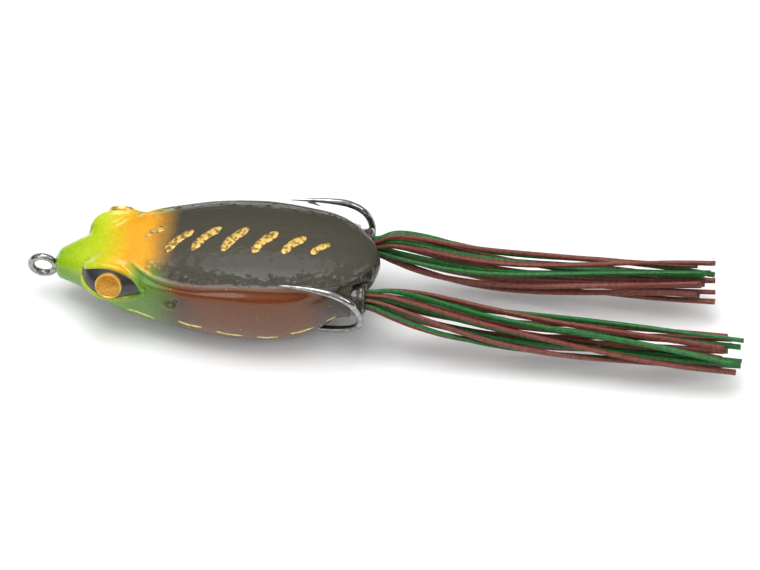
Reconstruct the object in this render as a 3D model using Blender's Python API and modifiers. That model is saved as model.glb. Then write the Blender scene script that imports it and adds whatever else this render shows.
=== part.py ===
"""Hollow-body topwater frog lure.

A soft hollow body sits over a double hook with a keel weight. Two rubber skirt legs leave
the tail through soft collars. The nose points along -X, the back is +Z, and the origin is
on the surface that the belly rests on, midway between the line tie and the tail.
Sizes are in metres.
"""

import math

import bmesh
import bpy
from mathutils import Matrix, Vector

MM = 0.001
CLEARANCE = 0.3 * MM

# Overall sizes of the body: crown and keel are above and below the nose tip.
BODY_LENGTH = 65.0 * MM
BODY_HALF_WIDTH = 13.7 * MM
BODY_CROWN = 13.2 * MM
BODY_KEEL = 9.0 * MM

# Places on the body are in these units, which are 1 mm on a body of the sizes above and
# stretch with them: along it, across it, and above and below the nose tip.
LONG = BODY_LENGTH / 65.0
WIDE = BODY_HALF_WIDTH / 13.7
HIGH = BODY_CROWN / 13.2
DEEP = BODY_KEEL / 9.0

# Shares of the length, half width, crown and keel.
BODY_STATIONS = (
    (0.000, 0.11, 0.08, 0.20),
    (0.018, 0.19, 0.19, 0.29),
    (0.070, 0.30, 0.36, 0.38),
    (0.130, 0.44, 0.50, 0.49),
    (0.210, 0.65, 0.68, 0.70),
    (0.290, 0.76, 0.79, 0.83),
    (0.385, 0.86, 0.88, 0.92),
    (0.490, 0.95, 0.96, 0.99),
    (0.620, 1.00, 1.00, 1.00),
    (0.700, 0.98, 1.00, 0.97),
    (0.770, 0.91, 0.99, 0.86),
    (0.840, 0.79, 0.97, 0.58),
    (0.900, 0.63, 0.93, 0.20),
    (0.945, 0.48, 0.88, -0.12),
    (0.980, 0.31, 0.80, -0.40),
    (1.000, 0.14, 0.71, -0.57),
)
TOP_POWER = 2.7  # how square the section's shoulders are, 2 being an ellipse
BELLY_POWER = 2.4
RING_SIDES = 28
RINGS = 26
REST_FLAT = 8.6 * DEEP  # how far below the nose tip the belly is flat
WALL = 1.5 * MM
CAVITY_SPAN = (0.27, 0.93)

# Back panel: height of the seam, in HIGH units, at shares of the body length.
SEAM_HEIGHTS = ((0.20, 9.6), (0.36, 8.6), (0.60, 10.2), (0.78, 10.2), (0.90, 9.8), (1.02, 9.8))

# Belly slot, where the twin shanks leave the body.
SLOT_START = 44.5 * LONG
SLOT_END = 54.5 * LONG
SLOT_HALF_WIDTH = 7.3 * WIDE
SLOT_TOP = 0.0

# Eyes.
DISC_RADIUS = 2.65 * MM
BUMP_CENTRE = Vector((12.8 * LONG, 5.9 * WIDE, 4.2 * HIGH))
BUMP_RADII = Vector((6.2 * LONG, 4.7 * WIDE, 4.7 * HIGH))
EYE_NORMAL = Vector((-0.06, 0.90, 0.39)).normalized()
EYE_SLANT = math.radians(8.0)
ALMOND_HALF_LENGTH = 6.7 * MM
ALMOND_HALF_HEIGHT = DISC_RADIUS + 0.65 * MM
ALMOND_STEPS = 10
ALMOND_DEPTHS = (-4.5 * MM, 2.0 * MM)  # how far an almond cutter reaches in and out
SOCKET_DEPTH = 1.2 * MM
BACKING_DEPTHS = (0.35 * MM, 0.9 * MM)
DISC_SUNK = 0.25 * MM
DISC_THICKNESS = 0.8 * MM
DISC_SIDES = 28

# Double hook.
WIRE_RADIUS = 0.70 * MM
TIE_RADIUS = 2.42 * MM
TIE_CENTRE = Vector((-2.2, 0.0, -1.0)) * MM
TIE_STEPS = 28
WIRE_SIDES = 10
SHANK_SETBACK = 0.62 * WIDE  # half the distance between the shanks' axes in the nose
NOSE_BORE_RADIUS = SHANK_SETBACK + WIRE_RADIUS + 0.33 * MM
NOSE_BORE_END = Vector((20.0 * LONG, 0.0, -2.0 * DEEP))
SHANK_ROOM_MARGIN = 4.0 * MM
HOOK_ROUTE = (
    (0.6, 0.62, -1.0),
    (7.0, 0.62, -1.1),
    (20.0, 0.9, -2.0),
    (34.0, 1.6, -3.9),
    (42.0, 2.6, -5.2),
    (48.0, 4.4, -6.0),
    (53.0, 6.3, -5.8),
    (57.0, 7.9, -4.0),
    (60.2, 9.5, -1.4),
    (61.9, 10.8, 1.6),
    (62.1, 11.7, 5.2),
    (60.6, 12.0, 8.6),
    (57.6, 11.9, 10.8),
    (54.0, 11.6, 11.6),
    (50.0, 11.3, 11.8),
    (46.0, 11.0, 11.7),
)
HOOK_FLARE = (6.3, 11.7)  # distances off the middle over which the hook follows the collars
HOOK_POINTS = 44
POINT_TAPER = 5
POINT_SHARE = 0.08  # the point's blunt end, as a share of the wire
BARB_SETBACK = 6.0 * MM
BARB_LENGTH = 2.2 * MM
BARB_HEIGHT = 1.1 * MM
BARB_RADII = (WIRE_RADIUS / 2.0, 0.06 * MM)

# Keel weight, moulded round the shanks inside the belly.
WEIGHT_CENTRE_X = 37.0 * LONG
WEIGHT_LENGTH = 13.0 * MM
WEIGHT_HALF_WIDTH = 4.2 * MM
WEIGHT_HALF_HEIGHT = 2.7 * MM
WEIGHT_DROP = 0.2 * MM

# Leg collars, plugs and skirt strands.
LEG_EXIT = Vector((62.8 * LONG, 6.9 * WIDE, 4.6 * HIGH))
COLLAR_RADIUS = 3.3 * MM
COLLAR_GROWTH = COLLAR_RADIUS - 3.3 * MM  # the hook's bends move out by this to clear the collars
COLLAR_WALL = 0.5 * MM
COLLAR_LENGTH = 6.0 * MM
COLLAR_LIP = 0.35 * MM
LIP_SPAN = (-1.8 * MM, -1.2 * MM, -0.4 * MM)  # where the lip starts, is full and rounds off
TURNED_STEPS = 24
PLUG_LENGTH = 2.4 * MM
PLUG_SETBACK = 2.4 * MM
PLUG_PLAY = 0.15 * MM
SWING_AHEAD = 0.9 * MM  # the swing's axis, and the strands' free roots, past the collar's mouth
STRAND_RADIUS = 0.40 * MM
STRAND_RINGS = ((1, 0.0), (6, 0.86), (9, 1.66))  # count and radius in mm, at the root
STRAND_STEPS = 10
LEG_LENGTHS = {"left": 72.0 * MM, "right": 66.0 * MM}
LEG_SPLAY = 2.0 * MM
LEG_DROOP = 6.0 * MM
LEG_CURL = 0.8 * MM  # what the springy tips rise again, past the droop near the root
LEG_SPREAD = 1.15
STRAND_DRIFT = 0.35 * MM
LENGTH_SPREAD = 2.0 * MM
LEG_TWIST = {"left": math.radians(100.0), "right": math.radians(-80.0)}
SIDES = {"left": -1.0, "right": 1.0}

TIE_FRONT = TIE_CENTRE.x - TIE_RADIUS - WIRE_RADIUS
ORIGIN = Vector(((TIE_FRONT + BODY_LENGTH) / 2.0, 0.0, -REST_FLAT))


# ---------------------------------------------------------------- scene and materials


def clear_scene():
    """Remove whatever the file holds."""
    for obj in list(bpy.data.objects):
        bpy.data.objects.remove(obj, do_unlink=True)


def new_collection(name):
    """Return a new collection, linked to the scene."""
    collection = bpy.data.collections.new(name)
    bpy.context.scene.collection.children.link(collection)
    return collection


def material(name, color, roughness, metallic=0.0):
    """Return a plain Principled material."""
    made = bpy.data.materials.new(name)
    made.use_nodes = True
    shader = made.node_tree.nodes["Principled BSDF"]
    shader.inputs["Base Color"].default_value = (*color, 1.0)
    shader.inputs["Roughness"].default_value = roughness
    shader.inputs["Metallic"].default_value = metallic
    made.diffuse_color = (*color, 1.0)
    return made


def add_object(name, mesh, collection, finish=None):
    """Wrap a mesh in an object at the origin, in the given collection."""
    obj = bpy.data.objects.new(name, mesh)
    collection.objects.link(obj)
    if finish:
        mesh.materials.clear()
        mesh.materials.append(finish)
        mesh.shade_smooth()
        mesh.set_sharp_from_angle(angle=math.radians(35.0))
    return obj


def add_cutter(name, mesh):
    """Wrap a mesh in a hidden wire object, in the cutters' collection."""
    obj = add_object(name, mesh, bpy.data.collections["cutters"])
    obj.hide_render = True
    obj.display_type = "WIRE"
    return obj


def mesh_of(name, bm):
    """Turn a bmesh into a mesh with its faces pointing out."""
    bmesh.ops.recalc_face_normals(bm, faces=bm.faces)
    mesh = bpy.data.meshes.new(name)
    bm.to_mesh(mesh)
    bm.free()
    return mesh


def evaluated(obj, name):
    """Return the mesh that the object and its modifiers make, and remove the object."""
    graph = bpy.context.evaluated_depsgraph_get()
    graph.update()
    made = bpy.data.meshes.new_from_object(obj.evaluated_get(graph))
    made.name = name
    bpy.data.objects.remove(obj, do_unlink=True)
    return made


def combine(name, base, *steps):
    """Return the mesh of base after Boolean steps, each an operation and an object's mesh."""
    scratch = add_cutter(name + "_base", base)
    cutters = []
    for index, (operation, mesh) in enumerate(steps):
        cutters.append(add_cutter(f"{name}_step_{index}", mesh))
        modifier = scratch.modifiers.new(f"step_{index}", "BOOLEAN")
        modifier.operation = operation
        modifier.solver = "EXACT"
        modifier.object = cutters[-1]
    made = evaluated(scratch, name)
    for obj in cutters:
        bpy.data.objects.remove(obj, do_unlink=True)
    return made


def moved(mesh, matrix):
    """Return a copy of the mesh, moved by the matrix."""
    copy = mesh.copy()
    copy.transform(matrix)
    if matrix.determinant() < 0.0:
        copy.flip_normals()
    return copy


MIRROR = Matrix.Diagonal((1.0, -1.0, 1.0, 1.0))


def to_side(mesh, side):
    """Return the mesh, modelled on the +Y side, for the left or the right side."""
    return moved(mesh, MIRROR) if SIDES[side] < 0.0 else mesh.copy()


# ---------------------------------------------------------------- curves and lofts


def smooth_point(points, place):
    """Point on a smooth curve through the points, at place 0 to 1 by the points' spacing."""
    spans = [(b - a).length for a, b in zip(points, points[1:])]
    target = place * sum(spans)
    index = 0
    while index < len(spans) - 1 and target > spans[index]:
        target -= spans[index]
        index += 1
    share = target / spans[index]
    start, end = points[index], points[index + 1]
    before = points[index - 1] if index else start * 2.0 - end
    after = points[index + 2] if index + 2 < len(points) else end * 2.0 - start
    lead = (end - before) * (spans[index] / ((end - before).length or 1.0))
    trail = (after - start) * (spans[index] / ((after - start).length or 1.0))
    return (
        start * (2.0 * share**3 - 3.0 * share**2 + 1.0)
        + lead * (share**3 - 2.0 * share**2 + share)
        + end * (3.0 * share**2 - 2.0 * share**3)
        + trail * (share**3 - share**2)
    )


def smooth_row(rows, at):
    """Values on smooth curves through table rows, whose first value is the place."""
    index = 0
    while index < len(rows) - 2 and at > rows[index + 1][0]:
        index += 1
    low, high = rows[index], rows[index + 1]
    before = rows[max(index - 1, 0)]
    after = rows[min(index + 2, len(rows) - 1)]
    span = high[0] - low[0]
    share = (at - low[0]) / span
    values = []
    for column in range(1, len(low)):
        lead = span * (high[column] - before[column]) / (high[0] - before[0])
        trail = span * (after[column] - low[column]) / (after[0] - low[0])
        values.append(
            low[column] * (2.0 * share**3 - 3.0 * share**2 + 1.0)
            + lead * (share**3 - 2.0 * share**2 + share)
            + high[column] * (3.0 * share**2 - 2.0 * share**3)
            + trail * (share**3 - share**2)
        )
    return values


def loft(name, rings):
    """Close a tube through rings of equal size, with a flat cap at each end."""
    bm = bmesh.new()
    rows = [[bm.verts.new(point) for point in ring] for ring in rings]
    count = len(rows[0])
    for row, following in zip(rows, rows[1:]):
        for index in range(count):
            nxt = (index + 1) % count
            bm.faces.new((row[index], row[nxt], following[nxt], following[index]))
    bm.faces.new(rows[0][::-1])
    bm.faces.new(rows[-1])
    return mesh_of(name, bm)


def tube(name, points, radii, sides):
    """Closed round tube along the points, on a curve with a bevel, its caps welded."""
    curve = bpy.data.curves.new(name, "CURVE")
    curve.dimensions = "3D"
    curve.bevel_depth = 1.0
    curve.bevel_resolution = sides // 2 - 2
    curve.use_fill_caps = True
    spline = curve.splines.new("POLY")
    spline.points.add(len(points) - 1)
    for slot, point, radius in zip(spline.points, points, radii):
        slot.co = (*point, 1.0)
        slot.radius = radius
    obj = add_object(name + "_curve", curve, bpy.data.collections["cutters"])
    bm = bmesh.new()
    bm.from_mesh(evaluated(obj, name))
    bmesh.ops.remove_doubles(bm, verts=bm.verts, dist=0.00001)
    return mesh_of(name, bm)


def cylinder(name, start, end, radius, sides=24):
    """Closed cylinder from one point to the other."""
    axis = end - start
    bm = bmesh.new()
    turn = axis.to_track_quat("Z", "Y").to_matrix().to_4x4()
    bmesh.ops.create_cone(
        bm,
        cap_ends=True,
        segments=sides,
        radius1=radius,
        radius2=radius,
        depth=axis.length,
        matrix=Matrix.Translation((start + end) / 2.0) @ turn,
    )
    return mesh_of(name, bm)


def ellipsoid(name, centre, radii, rows=12, sides=20):
    """Closed ellipsoid about the centre."""
    bm = bmesh.new()
    place = Matrix.Translation(centre) @ Matrix.Diagonal((*radii, 1.0))
    bmesh.ops.create_uvsphere(bm, u_segments=sides, v_segments=rows, radius=1.0, matrix=place)
    return mesh_of(name, bm)


def box(name, low, high):
    """Closed box between two corners."""
    size = high - low
    bm = bmesh.new()
    place = Matrix.Translation((low + high) / 2.0) @ Matrix.Diagonal((*size, 1.0))
    bmesh.ops.create_cube(bm, size=1.0, matrix=place)
    return mesh_of(name, bm)


# ---------------------------------------------------------------- body


def section(share, inset):
    """Ring of points round the body at a share of its length, moved in by the inset."""
    width, crown, keel = smooth_row(BODY_STATIONS, share)
    half_width = width * BODY_HALF_WIDTH
    top, bottom = crown * BODY_CROWN, -keel * BODY_KEEL
    middle = (top + bottom) / 2.0
    half_width = max(half_width - inset, 0.3 * MM)
    half_height = max((top - bottom) / 2.0 - inset, 0.3 * MM)
    ring = []
    for side in range(RING_SIDES):
        angle = 2.0 * math.pi * side / RING_SIDES
        flat = 2.0 / (TOP_POWER if math.sin(angle) > 0.0 else BELLY_POWER)
        across = math.copysign(abs(math.cos(angle)) ** flat, math.cos(angle))
        up = math.copysign(abs(math.sin(angle)) ** flat, math.sin(angle))
        place = (share * BODY_LENGTH, half_width * across, middle + half_height * up)
        ring.append(Vector(place))
    return ring


def body_form(name, inset=0.0, span=(0.0, 1.0)):
    """Closed body form, moved in by the inset, between two shares of the length."""
    first = max(span[0], inset / BODY_LENGTH)
    last = min(span[1], 1.0 - inset / BODY_LENGTH)
    shares = []
    for index in range(RINGS):
        turn = math.pi * index / (RINGS - 1)
        even = index / (RINGS - 1)
        shares.append(first + (last - first) * (0.5 * even + 0.25 * (1.0 - math.cos(turn))))
    return loft(name, [section(share, inset) for share in shares])


def eye_bump(side, inset=0.0):
    """Bump that carries one eye."""
    shrink = Vector((inset, inset, inset))
    return to_side(ellipsoid("bump", BUMP_CENTRE, BUMP_RADII - shrink), side)


def outer_form(name, inset=0.0):
    """Body form with both eye bumps, moved in by the inset."""
    bumps = [("UNION", eye_bump(side, inset)) for side in SIDES]
    return combine(name, body_form(name, inset), *bumps)


def seam_slab(name, low_gap, high):
    """Solid that fills everything above the seam, raised by a gap, over the body's width."""
    reach = 1.3 * BODY_HALF_WIDTH
    rings = []
    steps = 16
    start, end = SEAM_HEIGHTS[0][0], SEAM_HEIGHTS[-1][0]
    for index in range(steps + 1):
        share = start + (end - start) * index / steps
        seam = smooth_row(SEAM_HEIGHTS, share)[0] * HIGH + low_gap
        along = share * BODY_LENGTH
        rings.append(
            [
                Vector((along, -reach, seam)),
                Vector((along, reach, seam)),
                Vector((along, reach, high)),
                Vector((along, -reach, high)),
            ]
        )
    return loft(name, rings)


def eye_frame():
    """Matrix of the eye on the +Y side: X along the almond, Z out of the head."""
    along = Vector((1.0, 0.0, 0.0))
    along = (along - EYE_NORMAL * along.dot(EYE_NORMAL)).normalized()
    across = EYE_NORMAL.cross(along)
    turn = Matrix((along, across, EYE_NORMAL)).transposed().to_4x4()
    reach = 1.0 / math.sqrt(sum((n / r) ** 2 for n, r in zip(EYE_NORMAL, BUMP_RADII)))
    apex = BUMP_CENTRE + EYE_NORMAL * reach
    return Matrix.Translation(apex) @ turn @ Matrix.Rotation(EYE_SLANT, 4, "Z")


def almond_prism(name, inset=0.0):
    """Almond-shaped prism through the eye, on the +Y side."""
    length, height = ALMOND_HALF_LENGTH - inset, ALMOND_HALF_HEIGHT - inset
    radius = (length**2 + height**2) / (2.0 * height)
    half_angle = math.asin(length / radius)
    outline = []
    for way in (1.0, -1.0):
        for step in range(ALMOND_STEPS):
            angle = half_angle * (1.0 - 2.0 * step / ALMOND_STEPS)
            across = radius * math.cos(angle) - (radius - height)
            outline.append((way * radius * math.sin(angle), way * across))
    frame = eye_frame()
    rings = []
    for depth in ALMOND_DEPTHS:
        rings.append([frame @ Vector((along, across, depth)) for along, across in outline])
    return loft(name, rings)


def disc_at(name, radius, low, high):
    """Round disc on the eye's own axis, on the +Y side, between two depths."""
    frame = eye_frame()
    start, end = frame @ Vector((0.0, 0.0, low)), frame @ Vector((0.0, 0.0, high))
    return cylinder(name, start, end, radius, DISC_SIDES)


def eye_socket(side):
    """Almond recess in one eye bump."""
    floor = outer_form("floor", SOCKET_DEPTH)
    recess = combine("recess", almond_prism("almond"), ("DIFFERENCE", floor))
    return to_side(recess, side)


def leg_axis(side):
    """Start and end of one collar's bore."""
    exit_point = Vector((LEG_EXIT.x, SIDES[side] * LEG_EXIT.y, LEG_EXIT.z))
    return exit_point - Vector((COLLAR_LENGTH, 0.0, 0.0)), exit_point


def build_body(parts, finish):
    """Hollow body: head, sides and belly, open under the back panel."""
    past_mouth = Vector((COLLAR_LENGTH / 2.0, 0.0, 0.0))
    behind_collar = Vector((CLEARANCE, 0.0, 0.0))
    steps = [
        ("DIFFERENCE", body_form("cavity", WALL, CAVITY_SPAN)),
        ("DIFFERENCE", cylinder("bore", TIE_CENTRE, NOSE_BORE_END, NOSE_BORE_RADIUS)),
        ("DIFFERENCE", seam_slab("above_seam", 0.0, 2.0 * BODY_CROWN)),
    ]
    slot_low = Vector((SLOT_START, -SLOT_HALF_WIDTH, -2.0 * BODY_KEEL))
    slot_high = Vector((SLOT_END, SLOT_HALF_WIDTH, SLOT_TOP))
    steps.append(("DIFFERENCE", box("slot", slot_low, slot_high)))
    tie = tie_ring("tie_room", WIRE_RADIUS + CLEARANCE)
    steps.append(("DIFFERENCE", tie))
    for side in SIDES:
        start, end = leg_axis(side)
        room = COLLAR_RADIUS + COLLAR_LIP + CLEARANCE
        leg_room = cylinder("leg_room", start - behind_collar, end + past_mouth, room)
        steps.append(("DIFFERENCE", leg_room))
        steps.append(("DIFFERENCE", eye_socket(side)))
    floor_low = Vector((-BODY_LENGTH, -BODY_LENGTH, -BODY_LENGTH))
    floor_high = Vector((2.0 * BODY_LENGTH, BODY_LENGTH, -REST_FLAT))
    steps.append(("DIFFERENCE", box("floor", floor_low, floor_high)))
    add_object("body_shell", combine("body_shell", outer_form("outer"), *steps), parts, finish)


def build_back(parts, finish):
    """Back panel that closes the top of the hollow body."""
    steps = [
        ("DIFFERENCE", body_form("inner", WALL)),
        ("INTERSECT", seam_slab("above_seam", CLEARANCE, 2.0 * BODY_CROWN)),
    ]
    add_object("back_shell", combine("back_shell", body_form("outer"), *steps), parts, finish)


def build_eyes(parts, backing_finish, disc_finish):
    """Black almond backing and gold disc of each eye."""
    skin = combine(
        "skin",
        outer_form("outer", BACKING_DEPTHS[0]),
        ("DIFFERENCE", outer_form("inner", BACKING_DEPTHS[1])),
    )
    backing = combine(
        "backing",
        skin,
        ("INTERSECT", almond_prism("almond", CLEARANCE)),
        ("DIFFERENCE", disc_at("disc_room", DISC_RADIUS + CLEARANCE, *ALMOND_DEPTHS)),
    )
    disc = disc_at("disc", DISC_RADIUS, -DISC_SUNK - DISC_THICKNESS, -DISC_SUNK)
    for side in SIDES:
        add_object(side + "_eye_backing", to_side(backing, side), parts, backing_finish)
        add_object(side + "_eye_disc", to_side(disc, side), parts, disc_finish)


# ---------------------------------------------------------------- hook and weight


def tie_ring(name, radius):
    """Round line tie of the given wire radius, standing upright in front of the nose."""
    bpy.ops.mesh.primitive_torus_add(
        major_radius=TIE_RADIUS,
        minor_radius=radius,
        major_segments=TIE_STEPS,
        minor_segments=WIRE_SIDES,
    )
    obj = bpy.context.object
    upright = Matrix.Rotation(math.pi / 2.0, 4, "X")
    obj.data.transform(Matrix.Translation(TIE_CENTRE) @ upright)
    return evaluated(obj, name)


def hook_line(side):
    """Points along one shank, bend and point."""
    route = []
    for x, y, z in HOOK_ROUTE:
        rise = z * (HIGH if z > 0.0 else DEEP)
        flare = (y - HOOK_FLARE[0]) / (HOOK_FLARE[1] - HOOK_FLARE[0])
        off = y * WIDE + COLLAR_GROWTH * min(max(flare, 0.0), 1.0)
        route.append(Vector((x * LONG, SIDES[side] * off, rise)))
    return [smooth_point(route, index / (HOOK_POINTS - 1)) for index in range(HOOK_POINTS)]


def hook_wire(side):
    """One tapered hook wire with its barb."""
    points = hook_line(side)
    radii = []
    for index in range(HOOK_POINTS):
        left = (HOOK_POINTS - 1 - index) / POINT_TAPER
        size = POINT_SHARE + (1.0 - POINT_SHARE) * min(left, 1.0) ** 0.7
        radii.append(WIRE_RADIUS * size)
    wire = tube("wire", points, radii, WIRE_SIDES)
    tip = points[-1]
    back = (points[-4] - tip).normalized()
    inward = Vector((0.0, -SIDES[side], -0.9)).normalized()
    root = tip + back * (BARB_SETBACK - BARB_LENGTH)
    barb_tip = tip + back * BARB_SETBACK + inward * BARB_HEIGHT
    barb = tube("barb", [root, barb_tip], BARB_RADII, 8)
    return combine("wire", wire, ("UNION", barb))


def build_hook(parts, finish):
    """One-piece double hook: line tie, twin shanks, bends and barbed points."""
    steps = [("UNION", hook_wire(side)) for side in SIDES]
    hook = combine("double_hook", tie_ring("tie", WIRE_RADIUS), *steps)
    add_object("double_hook", hook, parts, finish)


def build_weight(parts, finish):
    """Keel weight round both shanks, just above the belly's inside."""
    reach = WEIGHT_LENGTH / 2.0 + SHANK_ROOM_MARGIN
    line = hook_line("right")
    near = min(line, key=lambda point: abs(point.x - WEIGHT_CENTRE_X))
    centre = Vector((WEIGHT_CENTRE_X, 0.0, near.z - WEIGHT_DROP))
    radii = Vector((WEIGHT_LENGTH / 2.0, WEIGHT_HALF_WIDTH, WEIGHT_HALF_HEIGHT))
    steps = []
    for side in SIDES:
        run = [p for p in hook_line(side) if abs(p.x - WEIGHT_CENTRE_X) < reach]
        room = tube("shank_room", run, [WIRE_RADIUS + CLEARANCE] * len(run), WIRE_SIDES)
        steps.append(("DIFFERENCE", room))
    weight = combine("keel_weight", ellipsoid("weight", centre, radii, 14, 24), *steps)
    add_object("keel_weight", weight, parts, finish)


# ---------------------------------------------------------------- legs


def turned(name, profile, place):
    """Turned ring: a closed profile of radius and distance along X, turned at the place."""
    bm = bmesh.new()
    corners = [bm.verts.new((radius, 0.0, along)) for radius, along in profile]
    for corner, following in zip(corners, corners[1:] + corners[:1]):
        bm.edges.new((corner, following))
    scratch = add_cutter(name + "_profile", mesh_of(name + "_profile", bm))
    screw = scratch.modifiers.new("turn", "SCREW")
    screw.steps = TURNED_STEPS
    screw.render_steps = TURNED_STEPS
    screw.use_merge_vertices = True
    screw.merge_threshold = 0.00001
    bm = bmesh.new()
    bm.from_mesh(evaluated(scratch, name))
    upright = Matrix.Rotation(math.pi / 2.0, 4, "Y")
    bmesh.ops.transform(bm, matrix=Matrix.Translation(place) @ upright, verts=bm.verts)
    return mesh_of(name, bm)


def build_collar(parts, side, finish):
    """Soft collar that lines one leg hole, with a rounded lip at its mouth."""
    inner, outer = COLLAR_RADIUS - COLLAR_WALL, COLLAR_RADIUS
    lip = outer + COLLAR_LIP
    profile = (
        (inner, -COLLAR_LENGTH),
        (outer, -COLLAR_LENGTH),
        (outer, LIP_SPAN[0]),
        (lip, LIP_SPAN[1]),
        (lip, LIP_SPAN[2]),
        (outer, 0.0),
        (inner, 0.0),
    )
    mesh = turned(side + "_leg_collar", profile, leg_axis(side)[1])
    add_object(side + "_leg_collar", mesh, parts, finish)


def build_plug(parts, side, finish):
    """Rubber plug inside the collar that grips the roots of one leg's strands."""
    radius = COLLAR_RADIUS - COLLAR_WALL - PLUG_PLAY
    mouth = leg_axis(side)[1]
    start = mouth - Vector((PLUG_SETBACK + PLUG_LENGTH, 0.0, 0.0))
    end = mouth - Vector((PLUG_SETBACK, 0.0, 0.0))
    mesh = cylinder(side + "_skirt_plug", start, end, radius)
    add_object(side + "_skirt_plug", mesh, parts, finish)


def strand_slots():
    """Place of each strand in the bundle, as a radius and an angle."""
    slots = []
    for count, radius in STRAND_RINGS:
        for index in range(count):
            slots.append((radius * MM, 2.0 * math.pi * index / count + 0.5 * count))
    return slots


def strand_line(side, number):
    """Points along one strand, from the swing's axis to its cut end."""
    way = SIDES[side]
    radius, angle = strand_slots()[number]
    length = LEG_LENGTHS[side] + LENGTH_SPREAD * math.sin(2.4 * number + way)
    exit_point = leg_axis(side)[1]
    points = []
    for step in range(STRAND_STEPS):
        share = step / (STRAND_STEPS - 1)
        out = share**1.35
        along = SWING_AHEAD + (length - SWING_AHEAD) * out
        opening = 1.0 + LEG_SPREAD * math.tanh(out / 0.12)
        turn = angle + LEG_TWIST[side] * out
        drift = STRAND_DRIFT * math.tanh(out / 0.3)
        across = radius * opening * math.cos(turn) + drift * math.sin(7.0 * out + 2.0 * number)
        up = radius * opening * math.sin(turn) + drift * math.cos(6.0 * out + 3.0 * number)
        across += way * LEG_SPLAY * out
        up -= LEG_DROOP * math.tanh((out / 0.3) ** 1.3) - LEG_CURL * out
        points.append(exit_point + Vector((along, across, up)))
    return points


def build_strands(parts, side, finishes):
    """All the strands of one leg, brown and green in turn."""
    for number in range(len(strand_slots())):
        name = f"{side}_strand_{number + 1:02d}"
        line = strand_line(side, number)
        mesh = tube(name, line, [STRAND_RADIUS] * len(line), 8)
        add_object(name, mesh, parts, finishes[number % len(finishes)])


# ---------------------------------------------------------------- assembly


def place_on_origin(parts):
    """Move every part so that the belly rests on Z = 0, midway along X."""
    for obj in parts.objects:
        obj.data.transform(Matrix.Translation(-ORIGIN))


def main():
    """Build the lure."""
    clear_scene()
    parts = new_collection("hollow_frog_lure")
    new_collection("cutters")
    back = material("dark_olive_skin", (0.055, 0.052, 0.035), 0.35)
    body = material("green_and_amber_skin", (0.45, 0.48, 0.03), 0.30)
    black = material("black_paint", (0.02, 0.02, 0.02), 0.4)
    gold = material("gold_foil", (0.80, 0.50, 0.10), 0.3, 0.8)
    steel = material("bright_steel", (0.60, 0.60, 0.60), 0.2, 1.0)
    lead = material("dull_lead", (0.30, 0.30, 0.32), 0.6, 0.9)
    collar = material("olive_collar", (0.05, 0.05, 0.035), 0.4)
    plug = material("black_rubber", (0.03, 0.03, 0.03), 0.8)
    brown = material("brown_rubber", (0.19, 0.05, 0.03), 0.6)
    green = material("green_rubber", (0.01, 0.15, 0.03), 0.6)
    build_body(parts, body)
    build_back(parts, back)
    build_eyes(parts, black, gold)
    build_hook(parts, steel)
    build_weight(parts, lead)
    for side in SIDES:
        build_collar(parts, side, collar)
        build_plug(parts, side, plug)
        build_strands(parts, side, (brown, green))
    place_on_origin(parts)


main()
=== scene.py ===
"""Looks of a hollow-body topwater frog lure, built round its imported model.

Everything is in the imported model's own frame: metres, the nose along -X, the back along +Z,
and the belly resting on Z = 0. Lengths that belong to the body are given from the nose tip.
"""

import logging
import math
from dataclasses import dataclass, field
from enum import Enum

import bmesh
import bpy
import numpy as np
from mathutils import Matrix, Vector, noise
from mathutils.bvhtree import BVHTree


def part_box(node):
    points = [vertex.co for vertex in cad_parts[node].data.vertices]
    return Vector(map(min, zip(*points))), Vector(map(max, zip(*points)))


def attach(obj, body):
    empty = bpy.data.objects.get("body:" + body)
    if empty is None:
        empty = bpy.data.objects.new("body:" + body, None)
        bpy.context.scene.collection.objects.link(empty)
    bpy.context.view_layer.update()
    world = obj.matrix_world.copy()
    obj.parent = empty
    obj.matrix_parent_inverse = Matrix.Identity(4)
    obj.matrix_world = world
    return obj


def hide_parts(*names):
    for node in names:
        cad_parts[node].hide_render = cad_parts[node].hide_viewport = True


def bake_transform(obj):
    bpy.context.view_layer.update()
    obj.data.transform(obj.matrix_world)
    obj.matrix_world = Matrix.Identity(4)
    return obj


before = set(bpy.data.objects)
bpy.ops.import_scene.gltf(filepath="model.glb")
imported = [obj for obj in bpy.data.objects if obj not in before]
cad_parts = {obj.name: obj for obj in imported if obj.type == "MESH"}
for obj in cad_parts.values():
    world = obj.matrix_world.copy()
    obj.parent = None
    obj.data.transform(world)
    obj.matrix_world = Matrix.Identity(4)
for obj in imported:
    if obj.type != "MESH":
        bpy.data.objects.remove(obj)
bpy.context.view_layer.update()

MM = 0.001
NOSE_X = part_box("body_shell")[0].x
REST_DEPTH = 8.6  # height of the nose tip above the belly's flat, in millimetres
WIRE_RADIUS = 0.70
TIE_RADIUS = 2.42
TIE_CENTRE = (-2.2, 0.0, -1.0)
LEG_MOUTH = (62.8, 6.9, 4.6)
SEARCH_STEPS = 30
LOG = logging.getLogger("frog_lure")
ROOT = "root"


class Side(Enum):
    """The lure's two sides, each with the sign of its Y."""

    LEFT = -1.0
    RIGHT = 1.0

    @property
    def word(self) -> str:
        """The side's name as it stands in the model's node and body names."""
        return self.name.lower()


def from_nose(x: float, y: float, z: float) -> Vector:
    """Turn a place given in millimetres from the nose tip into the model's frame.

    Args:
        x: Distance behind the nose tip.
        y: Distance towards the right side.
        z: Height above the nose tip.

    Returns:
        The place in metres, in the model's frame.
    """
    return Vector((NOSE_X + x * MM, y * MM, (z + REST_DEPTH) * MM))


# ---------------------------------------------------------------- shared mesh work


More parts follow.
